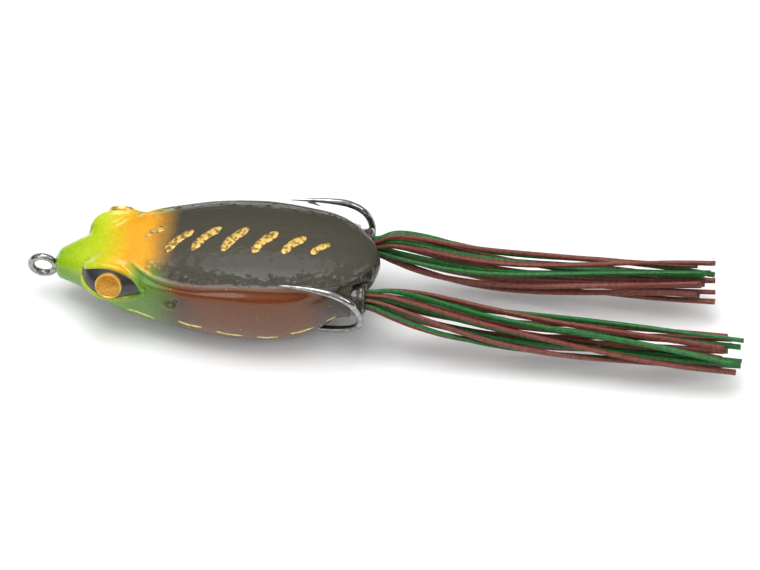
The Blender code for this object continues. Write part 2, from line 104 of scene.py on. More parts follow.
def curve(low: object, lead: object, high: object, trail: object, share: float) -> object:
    """Point on the smooth curve between two ends, given the slopes there.

    Args:
        low: Value at the start.
        lead: Slope at the start.
        high: Value at the end.
        trail: Slope at the end.
        share: Share of the way along.

    Returns:
        The value there, a number or a vector like the ends.
    """
    return (
        low * (2.0 * share**3 - 3.0 * share**2 + 1.0)
        + lead * (share**3 - 2.0 * share**2 + share)
        + high * (3.0 * share**2 - 2.0 * share**3)
        + trail * (share**3 - share**2)
    )


def smooth_point(points: list[Vector], place: float) -> Vector:
    """Find a place on the smooth curve through the points.

    Args:
        points: The curve's points, in order.
        place: Share of the way along, by the points' spacing, 0 to 1.

    Returns:
        The point on the curve.
    """
    spans = [(b - a).length for a, b in zip(points, points[1:])]
    target = place * sum(spans)
    index = 0
    while index < len(spans) - 1 and target > spans[index]:
        target -= spans[index]
        index += 1
    share = target / spans[index]
    start, end = points[index], points[index + 1]
    before = points[index - 1] if index else start * 2.0 - end
    after = points[index + 2] if index + 2 < len(points) else end * 2.0 - start
    lead = (end - before) * (spans[index] / ((end - before).length or 1.0))
    trail = (after - start) * (spans[index] / ((after - start).length or 1.0))
    return curve(start, lead, end, trail, share)


def smooth_line(points: list[Vector], count: int) -> list[Vector]:
    """Return `count` points on the smooth curve through the given points."""
    return [smooth_point(points, index / (count - 1)) for index in range(count)]


def deselect() -> None:
    """Leave nothing selected, so that the next operator acts on the new piece alone."""
    if bpy.context.object and bpy.context.object.mode != "OBJECT":
        bpy.ops.object.mode_set(mode="OBJECT")
    bpy.ops.object.select_all(action="DESELECT")


def settle(obj: bpy.types.Object) -> None:
    """Move an object's place, turn and size into its mesh."""
    deselect()
    obj.select_set(True)
    bpy.context.view_layer.objects.active = obj
    bpy.ops.object.transform_apply(location=True, rotation=True, scale=True)


def object_from(name: str, bm: bmesh.types.BMesh) -> bpy.types.Object:
    """Turn a finished bmesh into an object, its faces outwards.

    Args:
        name: Name of the object and its mesh.
        bm: The closed mesh, which is freed.

    Returns:
        The object, linked to the scene.
    """
    bmesh.ops.recalc_face_normals(bm, faces=bm.faces)
    mesh = bpy.data.meshes.new(name)
    bm.to_mesh(mesh)
    bm.free()
    obj = bpy.data.objects.new(name, mesh)
    bpy.context.scene.collection.objects.link(obj)
    return obj


def swept(
    name: str,
    line: list[Vector],
    outline: list[tuple[float, float]],
    turns: list[float],
    scales: list[float],
    facing: Vector,
) -> bpy.types.Object:
    """Sweep a closed outline along a line, turning and scaling it on the way.

    Args:
        name: Name of the object.
        line: Ring centres.
        outline: Points of the section, across and up, in metres.
        turns: Turn of the section at each ring, in radians.
        scales: Scale of the section at each ring.
        facing: Direction that the section's up starts from.

    Returns:
        A closed mesh object, with a UV map of distance along and place round.
    """
    bm = bmesh.new()
    uv = bm.loops.layers.uv.new("run")
    count, rows, runs = len(outline), [], [0.0]
    for a, b in zip(line, line[1:]):
        runs.append(runs[-1] + (b - a).length / (10.0 * MM))
    for index, centre in enumerate(line):
        ahead, behind = line[min(index + 1, len(line) - 1)], line[max(index - 1, 0)]
        along = (ahead - behind).normalized()
        up = (facing - along * facing.dot(along)).normalized()
        facing = up
        across = along.cross(up)
        turn, size = turns[index], scales[index]
        row = []
        for x, z in outline:
            a = size * (x * math.cos(turn) - z * math.sin(turn))
            b = size * (x * math.sin(turn) + z * math.cos(turn))
            row.append(bm.verts.new(centre + across * a + up * b))
        rows.append(row)
    for index, (row, following) in enumerate(zip(rows, rows[1:])):
        for side in range(count):
            nxt = (side + 1) % count
            face = bm.faces.new((row[side], following[side], following[nxt], row[nxt]))
            face.smooth = True
            shares = (side, side, side + 1, side + 1)
            ends = (runs[index], runs[index + 1], runs[index + 1], runs[index])
            for loop, share, run in zip(face.loops, shares, ends):
                loop[uv].uv = (run, share / count)
    for row in (rows[0], rows[-1][::-1]):
        bm.faces.new(row)
    return object_from(name, bm)


# ---------------------------------------------------------------- finishes


def paint(red: int, green: int, blue: int) -> tuple[float, float, float, float]:
    """Turn a screen colour of 0 to 255 a channel into the shader's linear colour."""
    shares = [value / 255.0 for value in (red, green, blue)]
    linear = [v / 12.92 if v <= 0.04045 else ((v + 0.055) / 1.055) ** 2.4 for v in shares]
    return (linear[0], linear[1], linear[2], 1.0)


class Graph:
    """A node tree, with short calls for the nodes that the finishes are made of."""

    def __init__(self, tree: bpy.types.NodeTree) -> None:
        """Hold the tree."""
        self.tree = tree

    def put(self, socket: bpy.types.NodeSocket, value: object) -> None:
        """Link a socket, or set a plain value, on an input."""
        if isinstance(value, bpy.types.NodeSocket):
            self.tree.links.new(value, socket)
        elif value is not None:
            socket.default_value = value

    def node(self, kind: str, inputs: dict | None = None, **settings: object) -> bpy.types.Node:
        """Add a node.

        Args:
            kind: The node's type, without its ShaderNode prefix.
            inputs: Values or sockets for its inputs, by name or number.
            settings: Values for its properties.

        Returns:
            The node.
        """
        made = self.tree.nodes.new("ShaderNode" + kind)
        for key, value in settings.items():
            setattr(made, key, value)
        for key, value in (inputs or {}).items():
            self.put(made.inputs[key], value)
        return made

    def math(self, operation: str, *values: object, clamp: bool = False) -> bpy.types.NodeSocket:
        """Work out a number from others."""
        inputs = dict(enumerate(values))
        return self.node("Math", inputs, operation=operation, use_clamp=clamp).outputs[0]

    def blend(self, share: object, low: object, high: object) -> bpy.types.NodeSocket:
        """Mix two colours."""
        made = self.node("Mix", None, data_type="RGBA")
        for socket, value in zip((made.inputs[0], made.inputs[6], made.inputs[7]), (share, low, high)):
            self.put(socket, value)
        return made.outputs[2]

    def span(
        self, value: object, low: float, high: float, start: float = 0.0, end: float = 1.0
    ) -> bpy.types.NodeSocket:
        """Map a value smoothly from one span to another, held at both ends."""
        inputs = {"Value": value, "From Min": low, "From Max": high, "To Min": start, "To Max": end}
        made = self.node("MapRange", inputs, interpolation_type="SMOOTHSTEP")
        return made.outputs["Result"]

    def place(self) -> bpy.types.NodeSocket:
        """Object coordinates in millimetres from the nose tip."""
        coords = self.node("TexCoord").outputs["Object"]
        nose = from_nose(0.0, 0.0, 0.0) / MM
        inputs = {"Vector": coords, "Location": tuple(-nose), "Scale": (1.0 / MM,) * 3}
        return self.node("Mapping", inputs).outputs["Vector"]

    def grain(self, place: object, scale: float, detail: float = 4.0) -> bpy.types.NodeSocket:
        """Noise of a given scale, in cycles a millimetre."""
        inputs = {"Vector": place, "Scale": scale, "Detail": detail}
        return self.node("TexNoise", inputs).outputs["Fac"]

    def use(self, group: bpy.types.NodeTree, **inputs: object) -> bpy.types.Node:
        """Place a shader group."""
        made = self.tree.nodes.new("ShaderNodeGroup")
        made.node_tree = group
        for key, value in inputs.items():
            self.put(made.inputs[key.replace("_", " ")], value)
        return made


def new_group(name: str, inputs: dict[str, str], outputs: dict[str, str]) -> tuple:
    """Start a shader group.

    Args:
        name: Name of the group.
        inputs: Socket kinds of its inputs, by name.
        outputs: Socket kinds of its outputs, by name.

    Returns:
        The group, a graph on it, its input node and its output node.
    """
    group = bpy.data.node_groups.new(name, "ShaderNodeTree")
    for way, sockets in (("INPUT", inputs), ("OUTPUT", outputs)):
        for label, kind in sockets.items():
            group.interface.new_socket(label, in_out=way, socket_type="NodeSocket" + kind)
    graph = Graph(group)
    return group, graph, group.nodes.new("NodeGroupInput"), group.nodes.new("NodeGroupOutput")


class Groups:
    """Shader groups that more than one finish uses, each built once."""

    def __init__(self) -> None:
        """Build every group."""
        self.grain = self.build_grain()
        self.frog = self.build_frog()

    def build_grain(self) -> bpy.types.NodeTree:
        """Fine moulded grain: uneven tone, and a height for a Bump node."""
        group, graph, given, made = new_group(
            "fine_grain",
            {"Vector": "Vector", "Scale": "Float", "Speckle": "Float"},
            {"Tone": "Float", "Height": "Float"},
        )
        coarse = graph.node("TexNoise", {"Vector": given.outputs[0], "Scale": given.outputs[1]})
        scale = graph.math("MULTIPLY", given.outputs[1], 5.0)
        fine = graph.node("TexNoise", {"Vector": given.outputs[0], "Scale": scale, "Detail": 2.0})
        dots = graph.math("MULTIPLY", fine.outputs["Fac"], given.outputs[2])
        tone = graph.math("ADD", graph.span(coarse.outputs["Fac"], 0.3, 0.7), dots)
        graph.put(made.inputs["Tone"], tone)
        graph.put(made.inputs["Height"], graph.math("ADD", coarse.outputs["Fac"], dots))
        return group

    def build_frog(self) -> bpy.types.NodeTree:
        """Airbrushed colours of the frog, from nose to tail and from crown to keel, with a pale line along
        the ridge that is partly painted highlight.
        """
        group, graph, given, made = new_group(
            "airbrushed_frog",
            {"Place": "Vector", "Girth": "Float"},
            {"Color": "Color", "Back": "Float", "Wet": "Float"},
        )
        place, girth = given.outputs[0], given.outputs[1]
        part = graph.node("SeparateXYZ", {0: place}).outputs
        sway = graph.math("MULTIPLY_ADD", graph.grain(place, 0.16), 3.6, -1.8)
        mist = graph.math("MULTIPLY_ADD", graph.grain(place, 5.0, 2.0), 1.3, -0.65)
        x = graph.math("ADD", graph.math("ADD", part["X"], sway), mist)
        height = graph.math("ADD", part["Z"], graph.math("MULTIPLY", mist, 0.6))
        lime = graph.blend(graph.span(x, 1.0, 14.0), paint(150, 190, 2), paint(200, 206, 1))
        top = graph.blend(graph.span(x, 9.0, 16.5), lime, paint(228, 158, 2))
        green_edge = graph.math("MULTIPLY", graph.span(x, 18.0, 22.0), graph.span(girth, 0.72, 0.55))
        top = graph.blend(green_edge, top, paint(120, 138, 14))
        top = graph.blend(graph.span(x, 18.5, 25.5), top, paint(58, 54, 42))
        crown = graph.math("ADD", girth, graph.math("MULTIPLY", mist, 0.02))
        cheek = graph.blend(graph.span(height, 5.5, 0.5), lime, paint(104, 152, 8))
        cheek = graph.blend(graph.span(height, -0.5, -4.5), cheek, paint(74, 92, 46))
        cheek = graph.blend(graph.span(x, 13.0, 19.0), cheek, paint(84, 128, 16))
        flank = graph.blend(graph.span(x, 24.0, 33.0), paint(68, 50, 30), paint(104, 58, 22))
        amber = graph.span(graph.math("ADD", girth, graph.math("MULTIPLY", sway, 0.006)), 0.435, 0.462)
        flank = graph.blend(amber, flank, paint(106, 48, 1))
        flank = graph.blend(graph.span(girth, 0.30, 0.14), flank, paint(64, 54, 38))
        side = graph.blend(graph.span(x, 19.0, 27.5), cheek, flank)
        side = graph.blend(graph.span(x, 50.0, 58.0), side, paint(48, 42, 32))
        on_top = graph.span(crown, 0.494, 0.503)
        head_top = graph.span(x, 18.0, 14.0)
        round_head = graph.blend(graph.span(height, 1.0, 6.0), cheek, top)
        whole = graph.blend(head_top, graph.blend(on_top, side, top), round_head)
        # Pale line along the ridge: partly the clear vinyl's lighter edge, partly a painted highlight on the
        # ridge bead.
        ridge = graph.math("ABSOLUTE", graph.math("SUBTRACT", girth, 0.5))
        pale = graph.math("MULTIPLY", graph.span(ridge, 0.011, 0.002), graph.span(x, 15.0, 18.0))
        pale = graph.math("MULTIPLY", pale, graph.span(x, 56.0, 44.0, 0.1, 0.6))
        ridge_edge_and_highlight_color = graph.blend(graph.span(x, 20.0, 28.0), paint(190, 205, 120), paint(150, 125, 108))
        graph.put(made.inputs["Color"], graph.blend(pale, whole, ridge_edge_and_highlight_color))
        back = graph.math("MULTIPLY", graph.span(girth, 0.49, 0.52), graph.span(x, 19.0, 26.0))
        graph.put(made.inputs["Back"], back)
        near = graph.span(graph.math("ABSOLUTE", graph.math("SUBTRACT", girth, 0.55)), 0.13, 0.03)
        graph.put(made.inputs["Wet"], graph.math("MULTIPLY", near, graph.span(x, 19.0, 24.0)))
        return group


@dataclass(frozen=True)
class Finish:
    """What every finish has: a name and the shader's constants."""

    name: str
    roughness: float = 0.4
    metallic: float = 0.0
    coat: float = 0.0
    coat_roughness: float = 0.06
    sheen: float = 0.5

    def start(self) -> tuple[bpy.types.Material, Graph, bpy.types.Node]:
        """Return a new material, its graph and its shader, with the constants set."""
        made = bpy.data.materials.new(self.name)
        made.use_nodes = True
        shader = made.node_tree.nodes["Principled BSDF"]
        shader.inputs["Roughness"].default_value = self.roughness
        shader.inputs["Metallic"].default_value = self.metallic
        shader.inputs["Coat Weight"].default_value = self.coat
        shader.inputs["Coat Roughness"].default_value = self.coat_roughness
        shader.inputs["Specular IOR Level"].default_value = self.sheen
        return made, Graph(made.node_tree), shader

    def bump(self, graph: Graph, shader: bpy.types.Node, height: object, depth: float) -> None:
        """Raise the surface by a height, `depth` metres from 0 to 1."""
        made = graph.node("Bump", {"Height": height, "Distance": depth, "Strength": 1.0})
        graph.put(shader.inputs["Normal"], made.outputs["Normal"])


@dataclass(frozen=True)
class FrogSkin(Finish):
    """Painted soft vinyl: matt pebbles on the back, gloss on the flanks."""

    pebble_scale: float = 1.5
    blister_scale: float = 1.9

    def material(self, groups: Groups) -> bpy.types.Material:
        """Make the skin's material.

        Args:
            groups: Shader groups to draw on.

        Returns:
            The material.
        """
        made, graph, shader = self.start()
        place = graph.place()
        uv = graph.node("UVMap", None, uv_map="girth").outputs[0]
        girth = graph.node("SeparateXYZ", {0: uv}).outputs["Y"]
        frog = graph.use(groups.frog, Place=place, Girth=girth)
        grain = graph.use(groups.grain, Vector=place, Scale=1.1, Speckle=0.25)
        specks = graph.node("TexVoronoi", {"Vector": place, "Scale": 0.42, "Randomness": 1.0})
        gold = graph.math("LESS_THAN", specks.outputs["Distance"], 0.05)
        flank = graph.math("MULTIPLY", gold, graph.math("SUBTRACT", 1.0, frog.outputs["Back"]))
        dull = graph.blend(0.10, frog.outputs["Color"], paint(30, 28, 20))
        tone = graph.blend(grain.outputs["Tone"], dull, frog.outputs["Color"])
        graph.put(shader.inputs["Base Color"], graph.blend(flank, tone, paint(196, 150, 70)))
        pebble = graph.node(
            "TexVoronoi", {"Vector": place, "Scale": self.pebble_scale}, feature="SMOOTH_F1"
        )
        blister = graph.node("TexVoronoi", {"Vector": place, "Scale": self.blister_scale})
        dome = graph.span(blister.outputs["Distance"], 0.42, 0.16)
        wet = graph.math("MULTIPLY", dome, frog.outputs["Wet"])
        lumps = graph.math("MULTIPLY", pebble.outputs["Distance"], frog.outputs["Back"])
        fine = graph.math("MULTIPLY", grain.outputs["Height"], 0.22)
        height = graph.math("ADD", graph.math("MULTIPLY_ADD", lumps, -0.55, wet), fine)
        self.bump(graph, shader, height, 0.055 * MM)
        rough = graph.math("MULTIPLY_ADD", frog.outputs["Back"], 0.22, 0.24)
        rough = graph.math("MULTIPLY_ADD", frog.outputs["Wet"], -0.06, rough)
        graph.put(shader.inputs["Roughness"], graph.math("MULTIPLY_ADD", grain.outputs["Tone"], 0.06, rough))
        coat = graph.math("MULTIPLY_ADD", frog.outputs["Back"], -0.42, 0.50)
        coat = graph.math("ADD", coat, graph.math("MULTIPLY", frog.outputs["Wet"], 0.25), clamp=True)
        graph.put(shader.inputs["Coat Weight"], coat)
        return made


@dataclass(frozen=True)
class StrandRubber(Finish):
    """Matt silicone rubber, moulded with a fine grain and cut square."""

    color: tuple[float, float, float, float] = (0.2, 0.05, 0.03, 1.0)
    dark: tuple[float, float, float, float] = (0.1, 0.02, 0.01, 1.0)

    def material(self, groups: Groups) -> bpy.types.Material:
        """Make the rubber's material.

        Args:
            groups: Shader groups to draw on.

        Returns:
            The material.
        """
        made, graph, shader = self.start()
        uv = graph.node("UVMap", None, uv_map="run").outputs[0]
        cut = graph.node("Mapping", {"Vector": uv, "Scale": (10.0, 3.2, 1.0)}).outputs[0]
        grain = graph.use(groups.grain, Vector=graph.place(), Scale=2.4, Speckle=0.5)
        streak = graph.grain(cut, 1.0, 3.0)
        tone = graph.math("MULTIPLY_ADD", streak, 0.7, graph.math("MULTIPLY", grain.outputs["Tone"], 0.35))
        mixed = graph.blend(graph.span(tone, 0.25, 0.85), self.dark, self.color)
        graph.put(shader.inputs["Base Color"], mixed)
        self.bump(graph, shader, grain.outputs["Height"], 0.05 * MM)
        graph.put(shader.inputs["Roughness"], graph.span(tone, 0.2, 0.9, 0.62, 0.46))
        return made


@dataclass(frozen=True)
class WireSteel(Finish):
    """Bright plated wire, with faint drawing marks and handling haze."""

    color: tuple[float, float, float, float] = (0.40, 0.40, 0.39, 1.0)
    dark: tuple[float, float, float, float] = (0.20, 0.20, 0.195, 1.0)

    def material(self, groups: Groups) -> bpy.types.Material:
        """Make the metal's material.

        Args:
            groups: Shader groups to draw on.

        Returns:
            The material.
        """
        made, graph, shader = self.start()
        grain = graph.use(groups.grain, Vector=graph.place(), Scale=0.8, Speckle=0.2)
        graph.put(
            shader.inputs["Base Color"], graph.blend(grain.outputs["Tone"], self.dark, self.color)
        )
        haze = graph.span(grain.outputs["Tone"], 0.2, 1.2, self.roughness + 0.10, self.roughness)
        graph.put(shader.inputs["Roughness"], haze)
        self.bump(graph, shader, grain.outputs["Height"], 0.012 * MM)
        return made


@dataclass(frozen=True)
class GoldFoil(Finish):
    """Gold eye foil, engraved with fine rings, with a painted orange reflection band across its top."""

    def material(self, groups: Groups) -> bpy.types.Material:
        """Make the foil's material.

        Args:
            groups: Shader groups to draw on.

        Returns:
            The material.
        """
        made, graph, shader = self.start()
        uv = graph.node("UVMap", None, uv_map="face").outputs[0]
        centre = graph.node("Mapping", {"Vector": uv, "Location": (-0.5, -0.5, 0.0)}).outputs[0]
        part = graph.node("SeparateXYZ", {0: centre}).outputs
        stretched = graph.node("Mapping", {"Vector": centre, "Scale": (0.55, 1.0, 1.0)}).outputs[0]
        radius = graph.node("VectorMath", {0: stretched}, operation="LENGTH").outputs["Value"]
        grain = graph.use(groups.grain, Vector=graph.place(), Scale=1.6, Speckle=0.3)
        worn = graph.math("MULTIPLY_ADD", grain.outputs["Tone"], 0.9, graph.math("MULTIPLY", radius, 150.0))
        rings = graph.math("SINE", worn)
        true_radius = graph.node("VectorMath", {0: centre}, operation="LENGTH").outputs["Value"]
        inside = graph.span(true_radius, 0.43, 0.40)
        lines = graph.math("MULTIPLY", graph.span(rings, 0.35, 0.9), inside)
        # Painted reflection: an orange band across the top of the foil.
        painted_reflection_band = graph.math("MULTIPLY", graph.span(part["Y"], -0.27, -0.35), inside)
        foil = graph.blend(grain.outputs["Tone"], paint(196, 134, 30), paint(226, 166, 52))
        foil = graph.blend(lines, foil, paint(158, 98, 16))
        foil = graph.blend(painted_reflection_band, foil, paint(226, 122, 6))
        rim = graph.span(true_radius, 0.44, 0.47)
        graph.put(shader.inputs["Base Color"], graph.blend(rim, foil, paint(222, 178, 96)))
        pores = graph.math("MULTIPLY", grain.outputs["Height"], 0.1)
        height = graph.math("MULTIPLY_ADD", lines, -0.45, pores)
        self.bump(graph, shader, height, 0.05 * MM)
        return made


@dataclass(frozen=True)
class PlainCoat(Finish):
    """A single colour with an uneven tone, for the small parts."""

    color: tuple[float, float, float, float] = (0.1, 0.1, 0.1, 1.0)
    dark: tuple[float, float, float, float] = (0.05, 0.05, 0.05, 1.0)
    scale: float = 1.2
    depth: float = 0.04 * MM

    def material(self, groups: Groups) -> bpy.types.Material:
        """Make the coat's material.

        Args:
            groups: Shader groups to draw on.

        Returns:
            The material.
        """
        made, graph, shader = self.start()
        grain = graph.use(groups.grain, Vector=graph.place(), Scale=self.scale, Speckle=0.45)
        mixed = graph.blend(graph.span(grain.outputs["Tone"], 0.25, 0.95), self.dark, self.color)
        graph.put(shader.inputs["Base Color"], mixed)
        worn = graph.span(grain.outputs["Tone"], 0.2, 1.1, self.roughness + 0.08, self.roughness - 0.05)
        graph.put(shader.inputs["Roughness"], worn)
        self.bump(graph, shader, grain.outputs["Height"], self.depth)
        return made


# ---------------------------------------------------------------- the body's form


def hermite_row(rows: tuple[tuple[float, ...], ...], at: float) -> list[float]:
    """Read smooth curves through a table whose first column is the place.

    Args:
        rows: The table, by rising place.
        at: Where to read it.

    Returns:
        The values of the other columns.
    """
    index = 0
    while index < len(rows) - 2 and at > rows[index + 1][0]:
        index += 1
    low, high = rows[index], rows[index + 1]
    before, after = rows[max(index - 1, 0)], rows[min(index + 2, len(rows) - 1)]
    span = high[0] - low[0]
    share = (at - low[0]) / span
    values = []
    for column in range(1, len(low)):
        lead = span * (high[column] - before[column]) / (high[0] - before[0])
        trail = span * (after[column] - low[column]) / (after[0] - low[0])
        values.append(curve(low[column], lead, high[column], trail, share))
    return values


def soft_step(low: float, high: float, at: np.ndarray) -> np.ndarray:
    """Rise smoothly from 0 to 1 between two values; either may be the larger."""
    share = np.clip((at - low) / (high - low), 0.0, 1.0)
    return share * share * (3.0 - 2.0 * share)


def bell(at: np.ndarray, width: float) -> np.ndarray:
    """Bell curve of height 1 about 0."""
    return np.exp(-((at / width) ** 2))


def soft_union(a: np.ndarray, b: np.ndarray, reach: float) -> np.ndarray:
    """Blend two distance fields into one, filleting where they meet within `reach`."""
    near = np.maximum(reach - np.abs(a - b), 0.0) / reach
    return np.minimum(a, b) - near * near * reach / 4.0


def to_right(points: np.ndarray) -> np.ndarray:
    """Points moved to the right side, so that both halves are shaped alike."""
    return np.column_stack((points[:, 0], np.abs(points[:, 1]), points[:, 2]))


def foot_on(
    points: np.ndarray, start: tuple[float, ...], end: tuple[float, ...]
) -> tuple[np.ndarray, np.ndarray]:
    """Nearest places on a straight stretch.

    Args:
        points: Points as rows.
        start: Where the stretch starts.
        end: Where it ends.

    Returns:
        Each point's share of the way along, unheld, and its nearest place on the stretch.
    """
    axis = np.array(end) - np.array(start)
    share = (points - start) @ axis / (axis @ axis)
    return share, start + np.clip(share, 0.0, 1.0)[:, None] * axis


@dataclass
class BodyForm:
    """The hollow body's outer form, in millimetres from the nose tip."""

    length: float = 65.0
    half_width: float = 13.7
    crown: float = 13.2
    keel: float = 9.0
    top_power: float = 2.7
    belly_power: float = 2.4
    nose_round: float = 1.5
    tail_round: float = 1.6
    stations: tuple[tuple[float, ...], ...] = (
        (0.000, 0.11, 0.08, 0.20),
        (0.018, 0.19, 0.19, 0.29),
        (0.070, 0.30, 0.36, 0.38),
        (0.130, 0.44, 0.50, 0.49),
        (0.210, 0.65, 0.68, 0.70),
        (0.290, 0.76, 0.79, 0.83),
        (0.385, 0.86, 0.88, 0.92),
        (0.490, 0.95, 0.96, 0.99),
        (0.620, 1.00, 1.00, 1.00),
        (0.700, 0.98, 1.00, 0.97),
        (0.770, 0.91, 0.99, 0.86),
        (0.840, 0.79, 0.97, 0.58),
        (0.900, 0.63, 0.93, 0.20),
        (0.945, 0.48, 0.88, -0.12),
        (0.980, 0.31, 0.80, -0.40),
        (1.000, 0.14, 0.71, -0.57),
    )
    seam: tuple[tuple[float, float], ...] = (
        (0.20, 9.6),
        (0.36, 8.6),
        (0.60, 10.2),
        (0.78, 10.2),
        (0.90, 9.8),
        (1.02, 9.8),
    )
    bump_centre: tuple[float, float, float] = (12.8, 5.9, 4.2)
    bump_radii: tuple[float, float, float] = (6.2, 4.7, 4.7)
    bump_fillet: float = 0.9
    stub_start: tuple[float, float, float] = (52.5, 5.2, 4.4)
    stub_end: tuple[float, float, float] = (59.5, 6.8, 4.6)
    stub_radius: float = 3.75
    stub_fillet: float = 2.6
    collar_face: float = 60.2
    collar_room: float = 3.7
    samples: int = 800

    def __post_init__(self) -> None:
        """Read the station tables once, closely spaced."""
        self.at = np.linspace(0.0, self.length, self.samples)
        rows = np.array([hermite_row(self.stations, x / self.length) for x in self.at])
        ends = np.minimum(self.at / self.nose_round, (self.length - self.at) / self.tail_round)
        cap = np.sqrt(1.0 - (1.0 - np.clip(ends, 0.0, 1.0)) ** 2)
        top, bottom = rows[:, 1] * self.crown, -rows[:, 2] * self.keel
        self.middle = (top + bottom) / 2.0
        self.half_height = np.maximum((top - bottom) / 2.0 * cap, 1e-3)
        self.breadth = np.maximum(rows[:, 0] * self.half_width * cap, 1e-3)
        stub_height = np.full_like(self.middle, self.stub_end[2])
        low = self.middle - 0.4 * self.half_height
        tail = soft_step(0.80, 0.90, self.at / self.length)
        self.core = self.middle + tail * (np.maximum(stub_height, low) - self.middle)

    def read(self, table: np.ndarray, x: np.ndarray) -> np.ndarray:
        """Read one of the closely spaced tables at distances from the nose tip."""
        return np.interp(x, self.at, table)

    def body_distance(self, points: np.ndarray) -> np.ndarray:
        """Distance outside the plain body, for points as rows.

        Args:
            points: Points as rows.

        Returns:
            The distance, below 0 inside the body.
        """
        x, y, z = points.T
        rise = z - self.read(self.middle, x)
        power = np.where(rise > 0.0, self.top_power, self.belly_power)
        size = (
            np.abs(y / self.read(self.breadth, x)) ** power
            + np.abs(rise / self.read(self.half_height, x)) ** power
        ) ** (1.0 / power)
        return np.hypot(y, rise) * (1.0 - 1.0 / np.maximum(size, 1e-6))

    def bump_distance(self, points: np.ndarray) -> np.ndarray:
        """Distance outside the nearer eye bump.

        Args:
            points: Points as rows.

        Returns:
            A close measure of the distance, below 0 inside the bump.
        """
        radii = np.array(self.bump_radii)
        away = (to_right(points) - self.bump_centre) / radii
        size = np.linalg.norm(away, axis=1)
        return size * (size - 1.0) / np.maximum(np.linalg.norm(away / radii, axis=1), 1e-6)

    def stub_distance(self, points: np.ndarray) -> np.ndarray:
        """Distance outside the nearer leg stub, a rounded tube.

        Args:
            points: Points as rows.

        Returns:
            The distance, below 0 inside the stub.
        """
        folded = to_right(points)
        _, foot = foot_on(folded, self.stub_start, self.stub_end)
        return np.linalg.norm(folded - foot, axis=1) - self.stub_radius

    def distance(self, points: np.ndarray) -> np.ndarray:
        """Distance outside the whole form, its bumps and stubs blended in.

        Args:
            points: Points as rows.

        Returns:
            The distance, below 0 inside the form.
        """
        whole = soft_union(self.body_distance(points), self.bump_distance(points), self.bump_fillet)
        whole = soft_union(whole, self.stub_distance(points), self.stub_fillet)
        room = np.hypot(np.abs(points[:, 1]) - LEG_MOUTH[1], points[:, 2] - LEG_MOUTH[2])
        room = room - self.collar_room + 20.0 * np.maximum(self.collar_face - points[:, 0], 0.0)
        return -soft_union(-whole, room, 0.5)

    def surface(self, x: np.ndarray, angle: np.ndarray) -> np.ndarray:
        """Find the form's surface round its core line.

        Args:
            x: Distances from the nose tip.
            angle: Directions round the core, 0 towards +Y and a quarter turn up.

        Returns:
            Surface points as rows, in millimetres from the nose tip.
        """
        way = np.stack([np.zeros_like(x), np.cos(angle), np.sin(angle)], axis=1)
        core = np.stack([x, np.zeros_like(x), self.read(self.core, x)], axis=1)
        low, high = np.zeros_like(x), np.full_like(x, 2.0 * self.half_width)
        for _ in range(SEARCH_STEPS):
            half = (low + high) / 2.0
            outside = self.distance(core + way * half[:, None]) > 0.0
            low, high = np.where(outside, low, half), np.where(outside, half, high)
        return core + way * low[:, None]

    def seam_angle(self, x: np.ndarray) -> np.ndarray:
        """Direction of the lateral ridge round the core, at distances from the nose tip.

        Args:
            x: Distances from the nose tip.

        Returns:
            The ridge's direction at each, in radians.
        """
        start = self.seam[0][0] * self.length
        held = np.maximum(x, start)
        heights = np.array([hermite_row(self.seam, v / self.length)[0] for v in self.at])
        rise = self.read(heights, held) - self.read(self.middle, held)
        share = np.clip(rise / self.read(self.half_height, held), 0.05, 0.90)
        across = self.read(self.breadth, held) * (1.0 - share**self.top_power) ** (1.0 / self.top_power)
        lift = self.read(self.middle, held) + share * self.read(self.half_height, held)
        angle = np.arctan2(lift - self.read(self.core, held), across)
        nose = math.radians(35.0)
        return nose + (angle - nose) * soft_step(0.0, start, x)


@dataclass
class EyePlace:
    """Where the almond eye sits on its bump, in millimetres from the nose tip."""

    form: BodyForm
    normal: tuple[float, float, float] = (-0.06, 0.90, 0.39)
    slant: float = math.radians(8.0)
    half_length: float = 6.7
    half_height: float = 3.3
    disc_radius: float = 2.65

    def matrix(self) -> Matrix:
        """Frame of the right eye: X along the almond, Y down across it, Z out of the head."""
        out = Vector(self.normal).normalized()
        along = Vector((1.0, 0.0, 0.0))
        along = (along - out * along.dot(out)).normalized()
        turn = Matrix((along, out.cross(along), out)).transposed().to_4x4()
        radii, centre = self.form.bump_radii, Vector(self.form.bump_centre)
        reach = 1.0 / math.sqrt(sum((n / r) ** 2 for n, r in zip(out, radii)))
        return Matrix.Translation(centre + out * reach) @ turn @ Matrix.Rotation(self.slant, 4, "Z")

    def local(self, points: np.ndarray) -> np.ndarray:
        """Places of points in the frame of the eye on their own side, as rows."""
        turn = np.array(self.matrix().inverted())
        return to_right(points) @ turn[:3, :3].T + turn[:3, 3]

    def arc(self) -> float:
        """Radius of the two arcs that bound the almond."""
        return (self.half_length**2 + self.half_height**2) / (2.0 * self.half_height)

    def outside(self, local: np.ndarray) -> np.ndarray:
        """Distance outside the almond's outline, for rows in the eye's frame."""
        offset = self.arc() - self.half_height
        return np.hypot(local[:, 0], np.abs(local[:, 1]) + offset) - self.arc()

    def reach(self, angle: float, inset: float) -> float:
        """Distance from the eye's centre to the almond's outline, moved in by the inset."""
        rise = abs(math.sin(angle)) * (self.arc() - self.half_height)
        arc = self.arc() - inset
        return -rise + math.sqrt(rise**2 + arc**2 - (self.arc() - self.half_height) ** 2)


